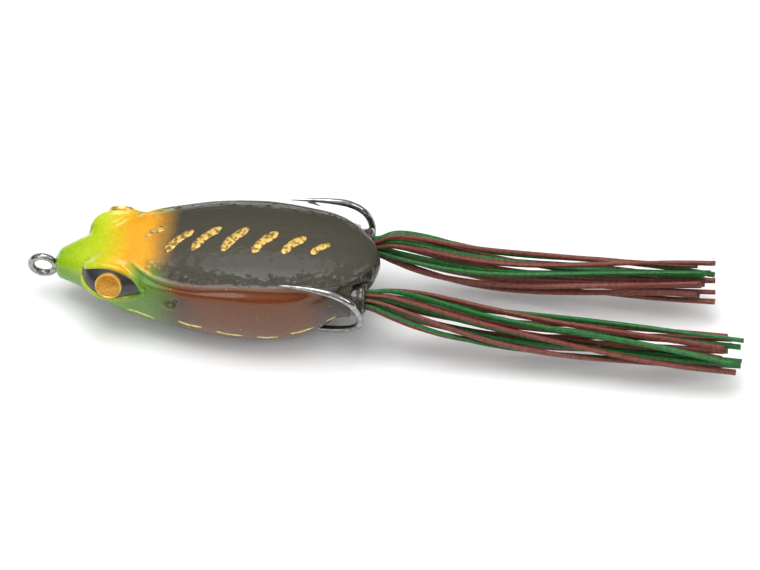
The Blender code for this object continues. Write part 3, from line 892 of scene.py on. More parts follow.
@dataclass
class HollowBody:
    """The soft moulded body: a back panel and a skin for head, sides and belly."""

    form: BodyForm
    eye: EyePlace
    back_columns: int = 44
    side_columns: int = 66
    wall: float = 1.5
    back_front: float = 17.0
    socket_depth: float = 1.0
    slot_span: tuple[float, float] = (44.5, 54.5)
    slot_half_width: float = 7.3
    eye_fold: tuple[tuple[float, ...], ...] = ((14.6, 7.2, 8.3), (19.4, 10.2, 5.2))
    nostril: tuple[float, ...] = (4.9, 3.7, 2.9)
    ear: tuple[float, ...] = (24.9, 11.4, 5.0)
    haunch: tuple[float, ...] = (54.5, 7.6, 9.2)
    haunch_radii: tuple[float, ...] = (5.6, 2.8, 2.4)
    tail_fold: tuple[tuple[float, ...], ...] = ((50.0, 12.0, 7.4), (62.5, 4.0, 8.6))
    knuckle: tuple[float, ...] = (59.5, 9.5, 7.2)
    knuckle_radii: tuple[float, ...] = (2.4, 2.0, 1.2)
    pebble_height: float = 0.085
    pebbles_a_mm: float = 0.95
    blister_height: float = 0.16
    blister_count: int = 150
    blister_seed: int = 7
    seat_gap: float = 0.05
    rim_slack: float = -0.02

    def ring_places(self) -> list[float]:
        """Distances from the nose tip of every ring of points between the two poles."""
        places = [self.form.nose_round * (1.0 - math.cos(math.pi / 16.0 * n)) for n in range(1, 8)]
        tail = [
            self.form.length - self.form.tail_round * (1.0 - math.cos(math.pi / 16.0 * n))
            for n in range(7, 0, -1)
        ]
        runs = ((22.0, 0.25), (54.0, 0.34), (tail[0] - 0.2, 0.25))
        x = places[-1]
        for end, step in runs:
            while x + step < end:
                x += step
                places.append(x)
        return places + tail

    def blank(self) -> bpy.types.Object:
        """Start from a sphere and move its rings along the body; its poles are nose and tail."""
        places = self.ring_places()
        columns = 2 * (self.back_columns + self.side_columns)
        deselect()
        bpy.ops.mesh.primitive_uv_sphere_add(segments=columns, ring_count=len(places) + 1, radius=1.0)
        obj = bpy.context.object
        co = np.empty(len(obj.data.vertices) * 3)
        obj.data.vertices.foreach_get("co", co)
        co = co.reshape(-1, 3)
        ring = np.rint(np.arccos(np.clip(co[:, 2], -1.0, 1.0)) / math.pi * (len(places) + 1))
        column = np.rint(np.arctan2(co[:, 1], co[:, 0]) / (2.0 * math.pi) * columns).astype(int) % columns
        x = np.array([0.0, *places, self.form.length])[ring.astype(int)]
        step = np.minimum(column, columns - column)
        ridge = self.form.seam_angle(x)
        above = math.pi / 2.0 - (math.pi / 2.0 - ridge) * step / self.back_columns
        below = ridge - (ridge + math.pi / 2.0) * (step - self.back_columns) / self.side_columns
        angle = np.where(step <= self.back_columns, above, below)
        angle = np.where(column > columns // 2, math.pi - angle, angle)
        obj.data.vertices.foreach_set("co", self.form.surface(x, angle).ravel())
        obj.data.update()
        return obj

    def refine_eyes(self, obj: bpy.types.Object) -> None:
        """Subdivide the faces round both eyes once.

        Args:
            obj: The blank, which is changed.
        """
        deselect()
        obj.select_set(True)
        bpy.context.view_layer.objects.active = obj
        centres = np.array([face.center[:] for face in obj.data.polygons])
        local = self.eye.local(centres)
        near = (np.abs(local[:, 0]) < 8.0) & (np.abs(local[:, 1]) < 5.2) & (np.abs(local[:, 2]) < 4.5)
        bpy.ops.object.mode_set(mode="EDIT")
        bpy.ops.mesh.select_mode(type="FACE")
        bpy.ops.mesh.select_all(action="DESELECT")
        bpy.ops.object.mode_set(mode="OBJECT")
        obj.data.polygons.foreach_set("select", near)
        bpy.ops.object.mode_set(mode="EDIT")
        bpy.ops.mesh.subdivide(number_cuts=1)
        bpy.ops.object.mode_set(mode="OBJECT")

    def girth(self, points: np.ndarray) -> tuple[np.ndarray, np.ndarray]:
        """Place round the body and distance above the ridge.

        Args:
            points: Surface points as rows.

        Returns:
            A share that is 0 at the keel, 0.5 on the ridge and 1 at the crown, and the
            distance above the ridge in millimetres.
        """
        x, y, z = points.T
        rise = z - self.form.read(self.form.core, x)
        angle = np.arctan2(rise, np.abs(y))
        ridge = self.form.seam_angle(x)
        over = angle - ridge
        share = np.where(
            over > 0.0,
            0.5 + 0.5 * over / (math.pi / 2.0 - ridge),
            0.5 + 0.5 * over / (math.pi / 2.0 + ridge),
        )
        return share, over * np.hypot(y, rise)

    def eye_relief(self, points: np.ndarray) -> np.ndarray:
        """Sockets, lid beads and the folds behind the eyes.

        Args:
            points: The form's surface points as rows.

        Returns:
            Height to raise each by, in millimetres.
        """
        local = self.eye.local(points)
        near = (np.abs(local[:, 2]) < 4.5) & (np.abs(local[:, 0]) < 9.0)
        out = self.eye.outside(local)
        lower = soft_step(-0.6, 0.8, local[:, 1])
        socket = -self.socket_depth * soft_step(0.02, -0.40, out)
        lid = (0.30 - 0.08 * lower) * bell(out - 0.34, 0.30)
        fold = -0.10 * bell(out - 0.95, 0.30) * (1.0 - lower)
        relief = np.where(near, socket + lid + fold, 0.0)
        folded = to_right(points)
        share, foot = foot_on(folded, *self.eye_fold)
        off = np.linalg.norm(folded - foot, axis=1)
        rear = (folded - foot) @ np.array((0.62, -0.30, 0.72))
        width = 0.62 - 0.42 * np.clip(share, 0.0, 1.0)
        ends = soft_step(-0.25, 0.15, share) * soft_step(1.12, 0.9, share)
        crest = 0.55 * np.exp(-np.abs(off) / width) * ends
        crease = -0.34 * bell(rear - 0.62, 0.34) * bell(off, 1.4) * ends
        return relief + crest + crease

    def small_relief(self, points: np.ndarray, over: np.ndarray) -> np.ndarray:
        """Ridge bead, edge of the bumps, nostrils and ear pits.

        Args:
            points: The form's surface points as rows.
            over: Distance of each above the ridge.

        Returns:
            Height to raise each by, in millimetres.
        """
        x = points[:, 0]
        folded = to_right(points)
        along = soft_step(15.0, 19.0, x) * soft_step(62.0, 56.0, x)
        relief = 0.32 * bell(over, 0.30) * along - 0.22 * bell(over + 1.15, 0.75) * along
        meeting = self.form.body_distance(points) - self.form.bump_distance(points)
        front = soft_step(17.0, 13.0, x)
        relief += 0.14 * bell(meeting - 0.25, 0.22) * front
        nostril = np.linalg.norm(folded - self.nostril, axis=1)
        relief += 0.06 * bell(nostril - 0.45, 0.2) - 0.22 * bell(nostril, 0.26)
        ear = folded - self.ear
        radius = np.linalg.norm(ear, axis=1)
        lower = soft_step(0.5, -0.9, ear[:, 2] - 0.35 * ear[:, 0])
        relief += (0.22 * bell(radius - 1.95, 0.4) - 0.62 * bell(radius - 1.15, 0.55)) * lower
        relief -= 0.22 * bell(radius, 1.2)
        return relief

    def tail_relief(self, points: np.ndarray) -> np.ndarray:
        """Haunches and the folds that gather the skin into the leg stubs.

        Args:
            points: The form's surface points as rows.

        Returns:
            Height to raise each by, in millimetres.
        """
        folded = to_right(points)
        haunch = np.linalg.norm((folded - self.haunch) / self.haunch_radii, axis=1)
        share, foot = foot_on(folded, *self.tail_fold)
        off = np.linalg.norm(folded - foot, axis=1)
        relief = 0.55 * bell(haunch, 1.0) - 0.85 * bell(off, 1.15) * soft_step(0.0, 0.35, share)
        below = np.linalg.norm((folded - self.knuckle) / self.knuckle_radii, axis=1)
        return relief + 0.25 * bell(below, 1.0)

    def pebbles(self, points: np.ndarray, over: np.ndarray) -> np.ndarray:
        """Leathery grain over the back, and the blisters that line the ridge.

        Args:
            points: The form's surface points as rows.
            over: Distance of each above the ridge.

        Returns:
            Height to raise each by, in millimetres.
        """
        back = soft_step(-0.1, 0.8, over) * soft_step(20.0, 27.0, points[:, 0])
        relief = np.zeros(len(points))
        for index in np.flatnonzero(back > 0.01):
            spot = Vector(points[index])
            cells = noise.voronoi(spot * self.pebbles_a_mm)[0]
            swell = 0.05 * noise.noise(spot * 0.6)
            relief[index] = self.pebble_height * (cells[1] - cells[0] - 0.25) + swell
        relief *= back
        draw = np.random.default_rng(self.blister_seed)
        count = self.blister_count
        x = 20.0 + 40.0 * draw.random(count) ** 1.2
        up = np.abs(draw.normal(0.0, 1.6, count)) + 0.5
        sizes = 0.22 + 0.20 * draw.random(count)
        signs = np.where(draw.random(count) < 0.5, -1.0, 1.0)
        ridge = self.form.seam_angle(x)
        radius = np.hypot(self.form.read(self.form.breadth, x), 4.0)
        angle = ridge + up / radius
        angle = np.where(signs > 0.0, angle, math.pi - angle)
        spots = self.form.surface(x, angle)
        for spot, size in zip(spots, sizes):
            near = np.flatnonzero(np.abs(points[:, 0] - spot[0]) < 2.0)
            away = np.linalg.norm(points[near] - spot, axis=1)
            relief[near] += self.blister_height * bell(away, size)
        return relief

    def make_room(self, points: np.ndarray) -> np.ndarray:
        """Press the nose back where the line tie's wire is seated in it.

        Args:
            points: The skin's points as rows.

        Returns:
            The points, moved where they have to be.
        """
        moved = points.copy()
        centre = np.array(TIE_CENTRE)
        for _ in range(SEARCH_STEPS):
            away = moved - centre
            across = np.hypot(away[:, 0], away[:, 2]) - TIE_RADIUS
            inside = np.hypot(across, away[:, 1]) < WIRE_RADIUS + self.seat_gap
            inside &= moved[:, 0] < 1.5
            moved[inside, 0] += self.seat_gap
        return moved

    def shell(
        self,
        name: str,
        faces: list[tuple[int, ...]],
        outer: np.ndarray,
        inner: np.ndarray,
        normals: np.ndarray,
        share: np.ndarray,
    ) -> bpy.types.Object:
        """Close a patch of the skin with its inner wall and its rim.

        Args:
            name: Name of the object.
            faces: The patch's faces, by the skin's own point numbers.
            outer: All of the skin's outer points.
            inner: The inner wall's point for each of them.
            normals: The outer skin's normals, shared by the patches, so that no join shows.
            share: Place round the body for each point.

        Returns:
            The closed shell, in metres in the model's frame.
        """
        used = np.array(sorted({index for face in faces for index in face}))
        place = {int(old): new for new, old in enumerate(used)}
        count = len(used)
        outside = [tuple(place[index] for index in face) for face in faces]
        # A dictionary, not a set, keeps the rim in the same order in every run.
        edges = {pair: None for face in outside for pair in zip(face, face[1:] + face[:1])}
        rim = [(b, a, a + count, b + count) for a, b in edges if (b, a) not in edges]
        inside = [tuple(index + count for index in reversed(face)) for face in outside]
        points = np.concatenate([outer[used], inner[used]]) * MM + np.array(from_nose(0.0, 0.0, 0.0))
        mesh = bpy.data.meshes.new(name)
        mesh.from_pydata(points.tolist(), [], outside + inside + rim)
        mesh.shade_smooth()
        uv = mesh.uv_layers.new(name="girth")
        corner = np.empty(len(mesh.loops), dtype=np.int32)
        mesh.loops.foreach_get("vertex_index", corner)
        both = np.concatenate([used, used])
        pairs = np.stack([outer[both, 0] / self.form.length, share[both]], axis=1)
        uv.data.foreach_set("uv", pairs[corner].astype(np.float32).ravel())
        way = np.concatenate([normals[used], -normals[used]])
        mesh.normals_split_custom_set_from_vertices([tuple(row) for row in way])
        obj = bpy.data.objects.new(name, mesh)
        bpy.context.scene.collection.objects.link(obj)
        return obj

    def build(self, skin_finish: bpy.types.Material, back_finish: bpy.types.Material) -> None:
        """Model the whole skin, then part it along the ridge into its two pieces.

        Args:
            skin_finish: Material of the head, sides and belly.
            back_finish: Material of the back panel.
        """
        blank = self.blank()
        self.refine_eyes(blank)
        mesh = blank.data
        flat = np.empty(len(mesh.vertices) * 3)
        mesh.vertices.foreach_get("co", flat)
        base = flat.reshape(-1, 3).copy()
        rise = base[:, 2] - self.form.read(self.form.core, base[:, 0])
        poles = np.hypot(base[:, 1], rise) < 0.01
        moved = self.form.surface(base[:, 0], np.arctan2(rise, base[:, 1]))
        base = np.where(poles[:, None], base, moved)
        members = [tuple(face.vertices) for face in mesh.polygons]
        self.form_tree = BVHTree.FromPolygons(base.tolist(), members)
        mesh.vertices.foreach_set("co", base.ravel())
        mesh.update()
        normals = self.read_normals(mesh)
        share, over = self.girth(base)
        relief = self.eye_relief(base) + self.small_relief(base, over)
        relief += self.tail_relief(base) + self.pebbles(base, over)
        outer = base + normals * relief[:, None]
        outer = self.make_room(outer)
        outer[:, 2] = np.maximum(outer[:, 2], -REST_DEPTH)
        mesh.vertices.foreach_set("co", outer.ravel())
        mesh.update()
        shown = self.read_normals(mesh)
        small = np.minimum(
            self.form.read(self.form.breadth, base[:, 0]),
            self.form.read(self.form.half_height, base[:, 0]),
        )
        thickness = np.minimum(self.wall, 0.42 * small)
        inner = base - normals * thickness[:, None]
        self.outer_tree = BVHTree.FromPolygons(outer.tolist(), members)
        back, skin = [], []
        for face in mesh.polygons:
            x, y, z = face.center
            low, high = self.slot_span
            if low < x < high and abs(y) < self.slot_half_width and z < -2.0:
                continue
            member = tuple(face.vertices)
            on_back = x > self.back_front and min(over[list(member)]) > self.rim_slack
            (back if on_back else skin).append(member)
        bpy.data.objects.remove(blank, do_unlink=True)
        pieces = (
            ("body_skin", skin, skin_finish, "body_shell"),
            ("back_panel_skin", back, back_finish, "back_shell"),
        )
        for name, faces, finish, node in pieces:
            obj = self.shell(name, faces, outer, inner, shown, share)
            obj.data.materials.append(finish)
            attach(obj, ROOT)
            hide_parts(node)
            LOG.info("%s: %d faces", name, len(obj.data.polygons))

    @staticmethod
    def read_normals(mesh: bpy.types.Mesh) -> np.ndarray:
        """Smooth outward normals of a mesh's points, as rows."""
        flat = np.empty(len(mesh.vertices) * 3)
        mesh.vertices.foreach_get("normal", flat)
        return flat.reshape(-1, 3)


# ---------------------------------------------------------------- hard parts


def circle(radius: float, sides: int) -> list[tuple[float, float]]:
    """Points of a circle, in metres."""
    return [
        (radius * math.cos(2.0 * math.pi * n / sides), radius * math.sin(2.0 * math.pi * n / sides))
        for n in range(sides)
    ]


def finish_piece(obj: bpy.types.Object, coat: bpy.types.Material, node: str) -> None:
    """Give a piece its material, seat it on the root body and let it stand for its node.

    Args:
        obj: The finished piece.
        coat: Its material.
        node: Name of the model's node that it stands for, or nothing if it has none.
    """
    obj.data.materials.clear()
    obj.data.materials.append(coat)
    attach(obj, ROOT)
    if node:
        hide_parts(node)
    LOG.info("%s: %d faces", obj.name, len(obj.data.polygons))


def turn_out(obj: bpy.types.Object) -> None:
    """Point every face of a closed mesh outwards."""
    bm = bmesh.new()
    bm.from_mesh(obj.data)
    bmesh.ops.recalc_face_normals(bm, faces=bm.faces)
    bm.to_mesh(obj.data)
    bm.free()


@dataclass
class DoubleHook:
    """Line tie, twin shanks, bends and barbed points, all of one wire."""

    ring_count: int = 150
    wire_sides: int = 20
    taper: float = 0.115
    barb_setback: float = 6.0
    barb_length: float = 2.4
    barb_height: float = 1.15
    route: tuple[tuple[float, float, float], ...] = (
        (0.6, 0.62, -1.0),
        (7.0, 0.62, -1.1),
        (20.0, 0.9, -2.0),
        (34.0, 1.6, -3.9),
        (42.0, 2.6, -5.2),
        (48.0, 4.4, -6.0),
        (53.0, 6.3, -5.8),
        (57.0, 7.9, -4.0),
        (60.2, 9.5, -1.4),
        (61.9, 10.8, 1.6),
        (62.1, 11.7, 5.2),
        (60.6, 12.0, 8.6),
        (57.6, 11.9, 10.8),
        (54.0, 11.6, 11.6),
        (50.0, 11.3, 11.8),
        (46.0, 11.0, 11.7),
    )

    def tie(self) -> bpy.types.Object:
        """Stand the wire ring upright in front of the nose."""
        deselect()
        bpy.ops.mesh.primitive_torus_add(
            major_radius=TIE_RADIUS * MM,
            minor_radius=WIRE_RADIUS * MM,
            major_segments=96,
            minor_segments=self.wire_sides,
            location=from_nose(*TIE_CENTRE),
            rotation=(math.pi / 2.0, 0.0, 0.0),
        )
        obj = bpy.context.object
        settle(obj)
        obj.data.shade_smooth()
        return obj

    def shank(self, side: Side) -> list[bpy.types.Object]:
        """Draw one shank, its bend, its needle point and the barb cut into it.

        Args:
            side: Side that the shank bends to.

        Returns:
            The wire and its barb.
        """
        points = [from_nose(x, side.value * y, z) for x, y, z in self.route]
        line = smooth_line(points, self.ring_count)
        scales = []
        for index in range(self.ring_count):
            left = (self.ring_count - 1 - index) / (self.taper * self.ring_count)
            scales.append(0.06 + 0.94 * min(left, 1.0) ** 0.75)
        up = Vector((0.0, 0.0, 1.0))
        outline = circle(WIRE_RADIUS * MM, self.wire_sides)
        turns = [0.0] * self.ring_count
        wire = swept(side.word + "_shank", line, outline, turns, scales, up)
        tip, behind = line[-1], line[-12]
        back = (behind - tip).normalized()
        inward = Vector((0.0, -side.value, -0.9)).normalized()
        steps = 9
        barb_line, sizes = [], []
        for index in range(steps):
            share = index / (steps - 1)
            reach = self.barb_setback - self.barb_length * (1.0 - share)
            lift = self.barb_height * share**1.3 + 0.2 * (1.0 - share)
            barb_line.append(tip + back * (reach * MM) + inward * (lift * MM))
            sizes.append(1.0 - 0.9 * share)
        oval = [(x * 0.42, y * 0.62) for x, y in circle(WIRE_RADIUS * MM, 12)]
        barb = swept(side.word + "_barb", barb_line, oval, [0.0] * steps, sizes, inward)
        return [wire, barb]

    def build(self, coat: bpy.types.Material) -> None:
        """Model the hook as one piece.

        Args:
            coat: The wire's material.
        """
        parts = [self.tie()] + [part for side in Side for part in self.shank(side)]
        deselect()
        for part in parts:
            part.select_set(True)
        bpy.context.view_layer.objects.active = parts[0]
        bpy.ops.object.join()
        hook = bpy.context.object
        hook.name = "double_hook_wire"
        finish_piece(hook, coat, "double_hook")


@dataclass
class EyePieces:
    """Black almond plate and gold disc of one eye."""

    eye: EyePlace
    side: Side
    form_tree: BVHTree
    plate_steps: int = 120
    plate_rows: int = 9
    plate_depth: float = 0.42
    plate_thickness: float = 0.45
    disc_top: float = -0.25
    disc_thickness: float = 0.8

    def to_side(self, obj: bpy.types.Object) -> None:
        """Move a piece modelled on the right eye's frame to its place, mirrored for the left.

        Args:
            obj: The piece, in millimetres in that frame.
        """
        turn = self.eye.matrix()
        if self.side is Side.LEFT:
            turn = Matrix.Diagonal((1.0, -1.0, 1.0, 1.0)) @ turn
        shift = Matrix.Translation(from_nose(0.0, 0.0, 0.0)) @ Matrix.Scale(MM, 4)
        obj.data.transform(shift @ turn)
        turn_out(obj)

    def plate(self) -> bpy.types.Object:
        """Shape the black plate: an almond round the disc, following the bump."""
        turn = self.eye.matrix()
        back = turn.inverted()
        out = (turn.to_3x3() @ Vector((0.0, 0.0, 1.0))).normalized()
        bm = bmesh.new()
        layers = []
        for extra in (0.0, self.plate_thickness):
            rows = []
            for row in range(self.plate_rows):
                share = row / (self.plate_rows - 1)
                ring = []
                for step in range(self.plate_steps):
                    angle = 2.0 * math.pi * step / self.plate_steps
                    edge = self.eye.reach(angle, 0.10)
                    reach = 2.2 + (max(edge, 2.3) - 2.2) * share
                    flat = Vector((reach * math.cos(angle), reach * math.sin(angle), 5.0))
                    hit, normal, _, _ = self.form_tree.ray_cast(turn @ flat, -out)
                    sunk = (hit or turn @ flat) - out * (self.plate_depth + extra)
                    ring.append(bm.verts.new(back @ sunk))
                rows.append(ring)
            layers.append(rows)
        count = self.plate_steps
        for layer, rows in enumerate(layers):
            for row, following in zip(rows, rows[1:]):
                for step in range(count):
                    nxt = (step + 1) % count
                    bm.faces.new((row[step], following[step], following[nxt], row[nxt])).smooth = True
        for row in (0, -1):
            upper, lower = layers[0][row], layers[1][row]
            for step in range(count):
                nxt = (step + 1) % count
                bm.faces.new((upper[step], upper[nxt], lower[nxt], lower[step]))
        return object_from(self.side.word + "_eye_plate", bm)

    def disc(self) -> bpy.types.Object:
        """Press the gold disc: a rim, a groove inside it and a low dome."""
        deselect()
        radius = self.eye.disc_radius
        middle = self.disc_top - self.disc_thickness / 2.0
        bpy.ops.mesh.primitive_cylinder_add(
            vertices=96, radius=radius, depth=self.disc_thickness, location=(0.0, 0.0, middle)
        )
        obj = bpy.context.object
        obj.name = self.side.word + "_eye_disc_foil"
        settle(obj)
        for face in obj.data.polygons:
            face.select = face.normal.z > 0.9
        bpy.ops.object.mode_set(mode="EDIT")
        bpy.ops.mesh.select_mode(type="FACE")
        cuts = ((0.22, 0.0), (0.08, -0.14), (0.30, 0.02), (0.60, 0.08), (0.60, 0.05), (0.45, 0.02))
        for inset, lift in cuts:
            bpy.ops.mesh.inset(thickness=inset)
            bpy.ops.transform.translate(value=(0.0, 0.0, lift))
        bpy.ops.object.mode_set(mode="OBJECT")
        edge = obj.modifiers.new("edge", "BEVEL")
        edge.width, edge.segments, edge.limit_method = 0.05, 2, "ANGLE"
        edge.angle_limit = math.radians(40.0)
        bpy.ops.object.modifier_apply(modifier=edge.name)
        obj.data.shade_smooth()
        uv = obj.data.uv_layers.new(name="face")
        for loop in obj.data.loops:
            spot = obj.data.vertices[loop.vertex_index].co
            uv.data[loop.index].uv = (spot.x / (2.0 * radius) + 0.5, spot.y / (2.0 * radius) + 0.5)
        obj.data.uv_layers.active = uv
        return obj

    def build(self, black: bpy.types.Material, gold: bpy.types.Material) -> None:
        """Model both pieces of the eye.

        Args:
            black: Material of the plate.
            gold: Material of the disc.
        """
        plate = self.plate()
        self.to_side(plate)
        finish_piece(plate, black, self.side.word + "_eye_backing")
        disc = self.disc()
        self.to_side(disc)
        finish_piece(disc, gold, self.side.word + "_eye_disc")


@dataclass
class LegSocket:
    """Soft collar at one leg hole, and the plug that grips the strands inside it."""

    side: Side
    inner: float = 2.8
    outer: float = 3.3
    lip: float = 3.62
    length: float = 6.0
    pleats: int = 11
    pleat_depth: float = 0.07
    segments: int = 110
    plug_length: float = 2.4
    plug_setback: float = 2.4

    def profile(self) -> list[tuple[float, float]]:
        """The collar's section, as radius and distance along, all the way round it."""
        return [
            (self.inner, -self.length),
            (self.inner, -4.0),
            (self.inner, -2.0),
            (self.inner, -0.7),
            (self.inner + 0.03, -0.25),
            (self.inner + 0.14, -0.04),
            (self.inner + 0.30, 0.0),
            (self.outer - 0.05, -0.05),
            (self.outer + 0.14, -0.22),
            (self.lip - 0.04, -0.50),
            (self.lip, -0.80),
            (self.lip - 0.04, -1.10),
            (self.outer + 0.12, -1.42),
            (self.outer, -1.75),
            (self.outer, -2.4),
            (self.outer, -3.6),
            (self.outer, -4.8),
            (self.outer, -self.length),
        ]

    def collar(self) -> bpy.types.Object:
        """Turn the collar from a torus, moving its rings onto the section."""
        profile = self.profile()
        count = len(profile)
        deselect()
        bpy.ops.mesh.primitive_torus_add(
            major_radius=3.0, minor_radius=1.0, major_segments=self.segments, minor_segments=count
        )
        obj = bpy.context.object
        obj.name = self.side.word + "_leg_collar_lip"
        centre = Vector((LEG_MOUTH[0], self.side.value * LEG_MOUTH[1], LEG_MOUTH[2]))
        for vertex in obj.data.vertices:
            x, y, z = vertex.co
            index = round(math.atan2(z, math.hypot(x, y) - 3.0) / (2.0 * math.pi / count)) % count
            around = math.atan2(y, x)
            radius, along = profile[(count - index) % count]
            crease = self.pleat_depth * math.cos(self.pleats * around)
            radius += crease * (radius > self.outer - 0.06) * (along > -2.0)
            place = centre + Vector((along, radius * math.cos(around), radius * math.sin(around)))
            vertex.co = from_nose(*place)
        turn_out(obj)
        obj.data.shade_smooth()
        return obj

    def plug(self) -> bpy.types.Object:
        """Shape the plug: a short cylinder with a pressed, slightly domed face."""
        deselect()
        centre = (
            LEG_MOUTH[0] - self.plug_setback - self.plug_length / 2.0,
            self.side.value * LEG_MOUTH[1],
            LEG_MOUTH[2],
        )
        bpy.ops.mesh.primitive_cylinder_add(
            vertices=48,
            radius=(self.inner - 0.02) * MM,
            depth=self.plug_length * MM,
            location=from_nose(*centre),
            rotation=(0.0, math.pi / 2.0, 0.0),
        )
        obj = bpy.context.object
        obj.name = self.side.word + "_skirt_plug_rubber"
        settle(obj)
        for face in obj.data.polygons:
            face.select = face.normal.x > 0.9
        bpy.ops.object.mode_set(mode="EDIT")
        bpy.ops.mesh.select_mode(type="FACE")
        for inset, push in ((0.25, 0.0), (0.12, -0.18), (0.9, 0.10), (0.7, 0.05)):
            bpy.ops.mesh.inset(thickness=inset * MM)
            bpy.ops.transform.translate(value=(push * MM, 0.0, 0.0))
        bpy.ops.object.mode_set(mode="OBJECT")
        obj.data.shade_smooth()
        return obj

    def build(self, skin: bpy.types.Material, rubber: bpy.types.Material) -> None:
        """Model both pieces of the leg's socket."""
        finish_piece(self.collar(), skin, self.side.word + "_leg_collar")
        finish_piece(self.plug(), rubber, self.side.word + "_skirt_plug")


@dataclass
class BrushMarks:
    """Painted brush strokes, each a thin layer of paint that follows the skin."""

    name: str
    tree: BVHTree
    toward: tuple[float, float, float]
    strokes: tuple[tuple[float, ...], ...]
    film: float = 0.07
    rows: int = 44
    columns: int = 7

    def stroke(self, bm: bmesh.types.BMesh, spec: tuple[float, ...], number: int) -> None:
        """Paint one stroke through three places, thick in the middle.

        Args:
            bm: Mesh that the stroke is added to.
            spec: X and across of three places, then the stroke's width.
            number: The stroke's number, which varies its edges.
        """
        x0, w0, x1, w1, x2, w2, width = spec
        look = Vector(self.toward)
        upright = abs(look.z) > 0.5
        points = [Vector((x0, w0, 0.0)), Vector((x1, w1, 0.0)), Vector((x2, w2, 0.0))]
        line = smooth_line(points, self.rows)
        layers: list[list[list[bmesh.types.BMVert]]] = [[], []]
        for index, spot in enumerate(line):
            share = index / (self.rows - 1)
            ahead, behind = line[min(index + 1, self.rows - 1)], line[max(index - 1, 0)]
            along = (ahead - behind).normalized()
            side = Vector((-along.y, along.x, 0.0))
            swell = min(1.0, (math.sin(math.pi * share) + 0.04) * 1.9) ** 0.6
            rough = noise.noise(Vector((spot.x * 1.6, spot.y * 1.6, number * 3.1)))
            half = 0.5 * width * swell * (0.92 + 0.22 * rough)
            rows: tuple[list, list] = ([], [])
            for column in range(self.columns):
                off = 2.0 * column / (self.columns - 1) - 1.0
                flat = spot + side * (half * off)
                away = (flat.x, flat.y, 0.0) if upright else (flat.x, 0.0, flat.y)
                origin = Vector(away) - look * 40.0
                hit, normal, _, _ = self.tree.ray_cast(origin, look)
                if hit is None:
                    return
                lift = self.film * (1.0 - 0.75 * abs(off) ** 3)
                rows[0].append(bm.verts.new(from_nose(*(hit + normal * lift))))
                rows[1].append(bm.verts.new(from_nose(*(hit - normal * self.film))))
            for layer, row in zip(layers, rows):
                layer.append(row)
        last = self.columns - 1
        for layer in layers:
            for row, following in zip(layer, layer[1:]):
                for column in range(last):
                    corners = (row[column], row[column + 1], following[column + 1], following[column])
                    bm.faces.new(corners).smooth = True
        upper, lower = layers
        for index in range(self.rows - 1):
            for column in (0, last):
                corners = (upper[index], upper[index + 1], lower[index + 1], lower[index])
                bm.faces.new([row[column] for row in corners])
        for row, under in ((upper[0], lower[0]), (upper[-1], lower[-1])):
            for column in range(last):
                bm.faces.new((row[column], row[column + 1], under[column + 1], under[column]))

    def build(self, coat: bpy.types.Material) -> None:
        """Paint every stroke as one piece.

        Args:
            coat: The paint's material.
        """
        bm = bmesh.new()
        for number, spec in enumerate(self.strokes):
            self.stroke(bm, spec, number)
        finish_piece(object_from(self.name, bm), coat, "")


# Plain dashes that never meet: x and across of three places, then the width.
BACK_STROKES = (
    (18.6, -0.4, 20.4, 1.0, 22.8, 1.9, 1.4),
    (23.2, -4.4, 25.2, -1.6, 28.2, 0.8, 1.9),
    (28.4, -4.2, 30.4, -1.2, 33.6, 1.6, 2.0),
    (34.4, -4.4, 36.0, -1.4, 39.0, 1.8, 2.0),
    (40.4, -4.4, 42.0, -1.6, 44.8, 1.2, 2.0),
    (46.2, -4.0, 47.8, -1.6, 50.4, 0.6, 1.9),
    (51.8, -3.4, 53.2, -1.8, 55.2, -0.4, 1.6),
)
SIDE_STROKES = (
    (15.8, -1.2, 18.2, -1.2, 21.6, -2.0, 0.62),
    (26.4, -0.6, 28.4, -1.1, 31.2, -0.9, 0.62),
    (33.8, -1.6, 36.0, -2.1, 39.2, -2.0, 0.62),
    (42.0, -1.9, 43.8, -2.2, 46.2, -1.9, 0.55),
    (48.6, -0.9, 50.6, -0.8, 53.0, -0.2, 0.55),
    (55.4, 1.0, 56.3, 1.4, 57.2, 2.1, 0.5),
)


# ---------------------------------------------------------------- studio


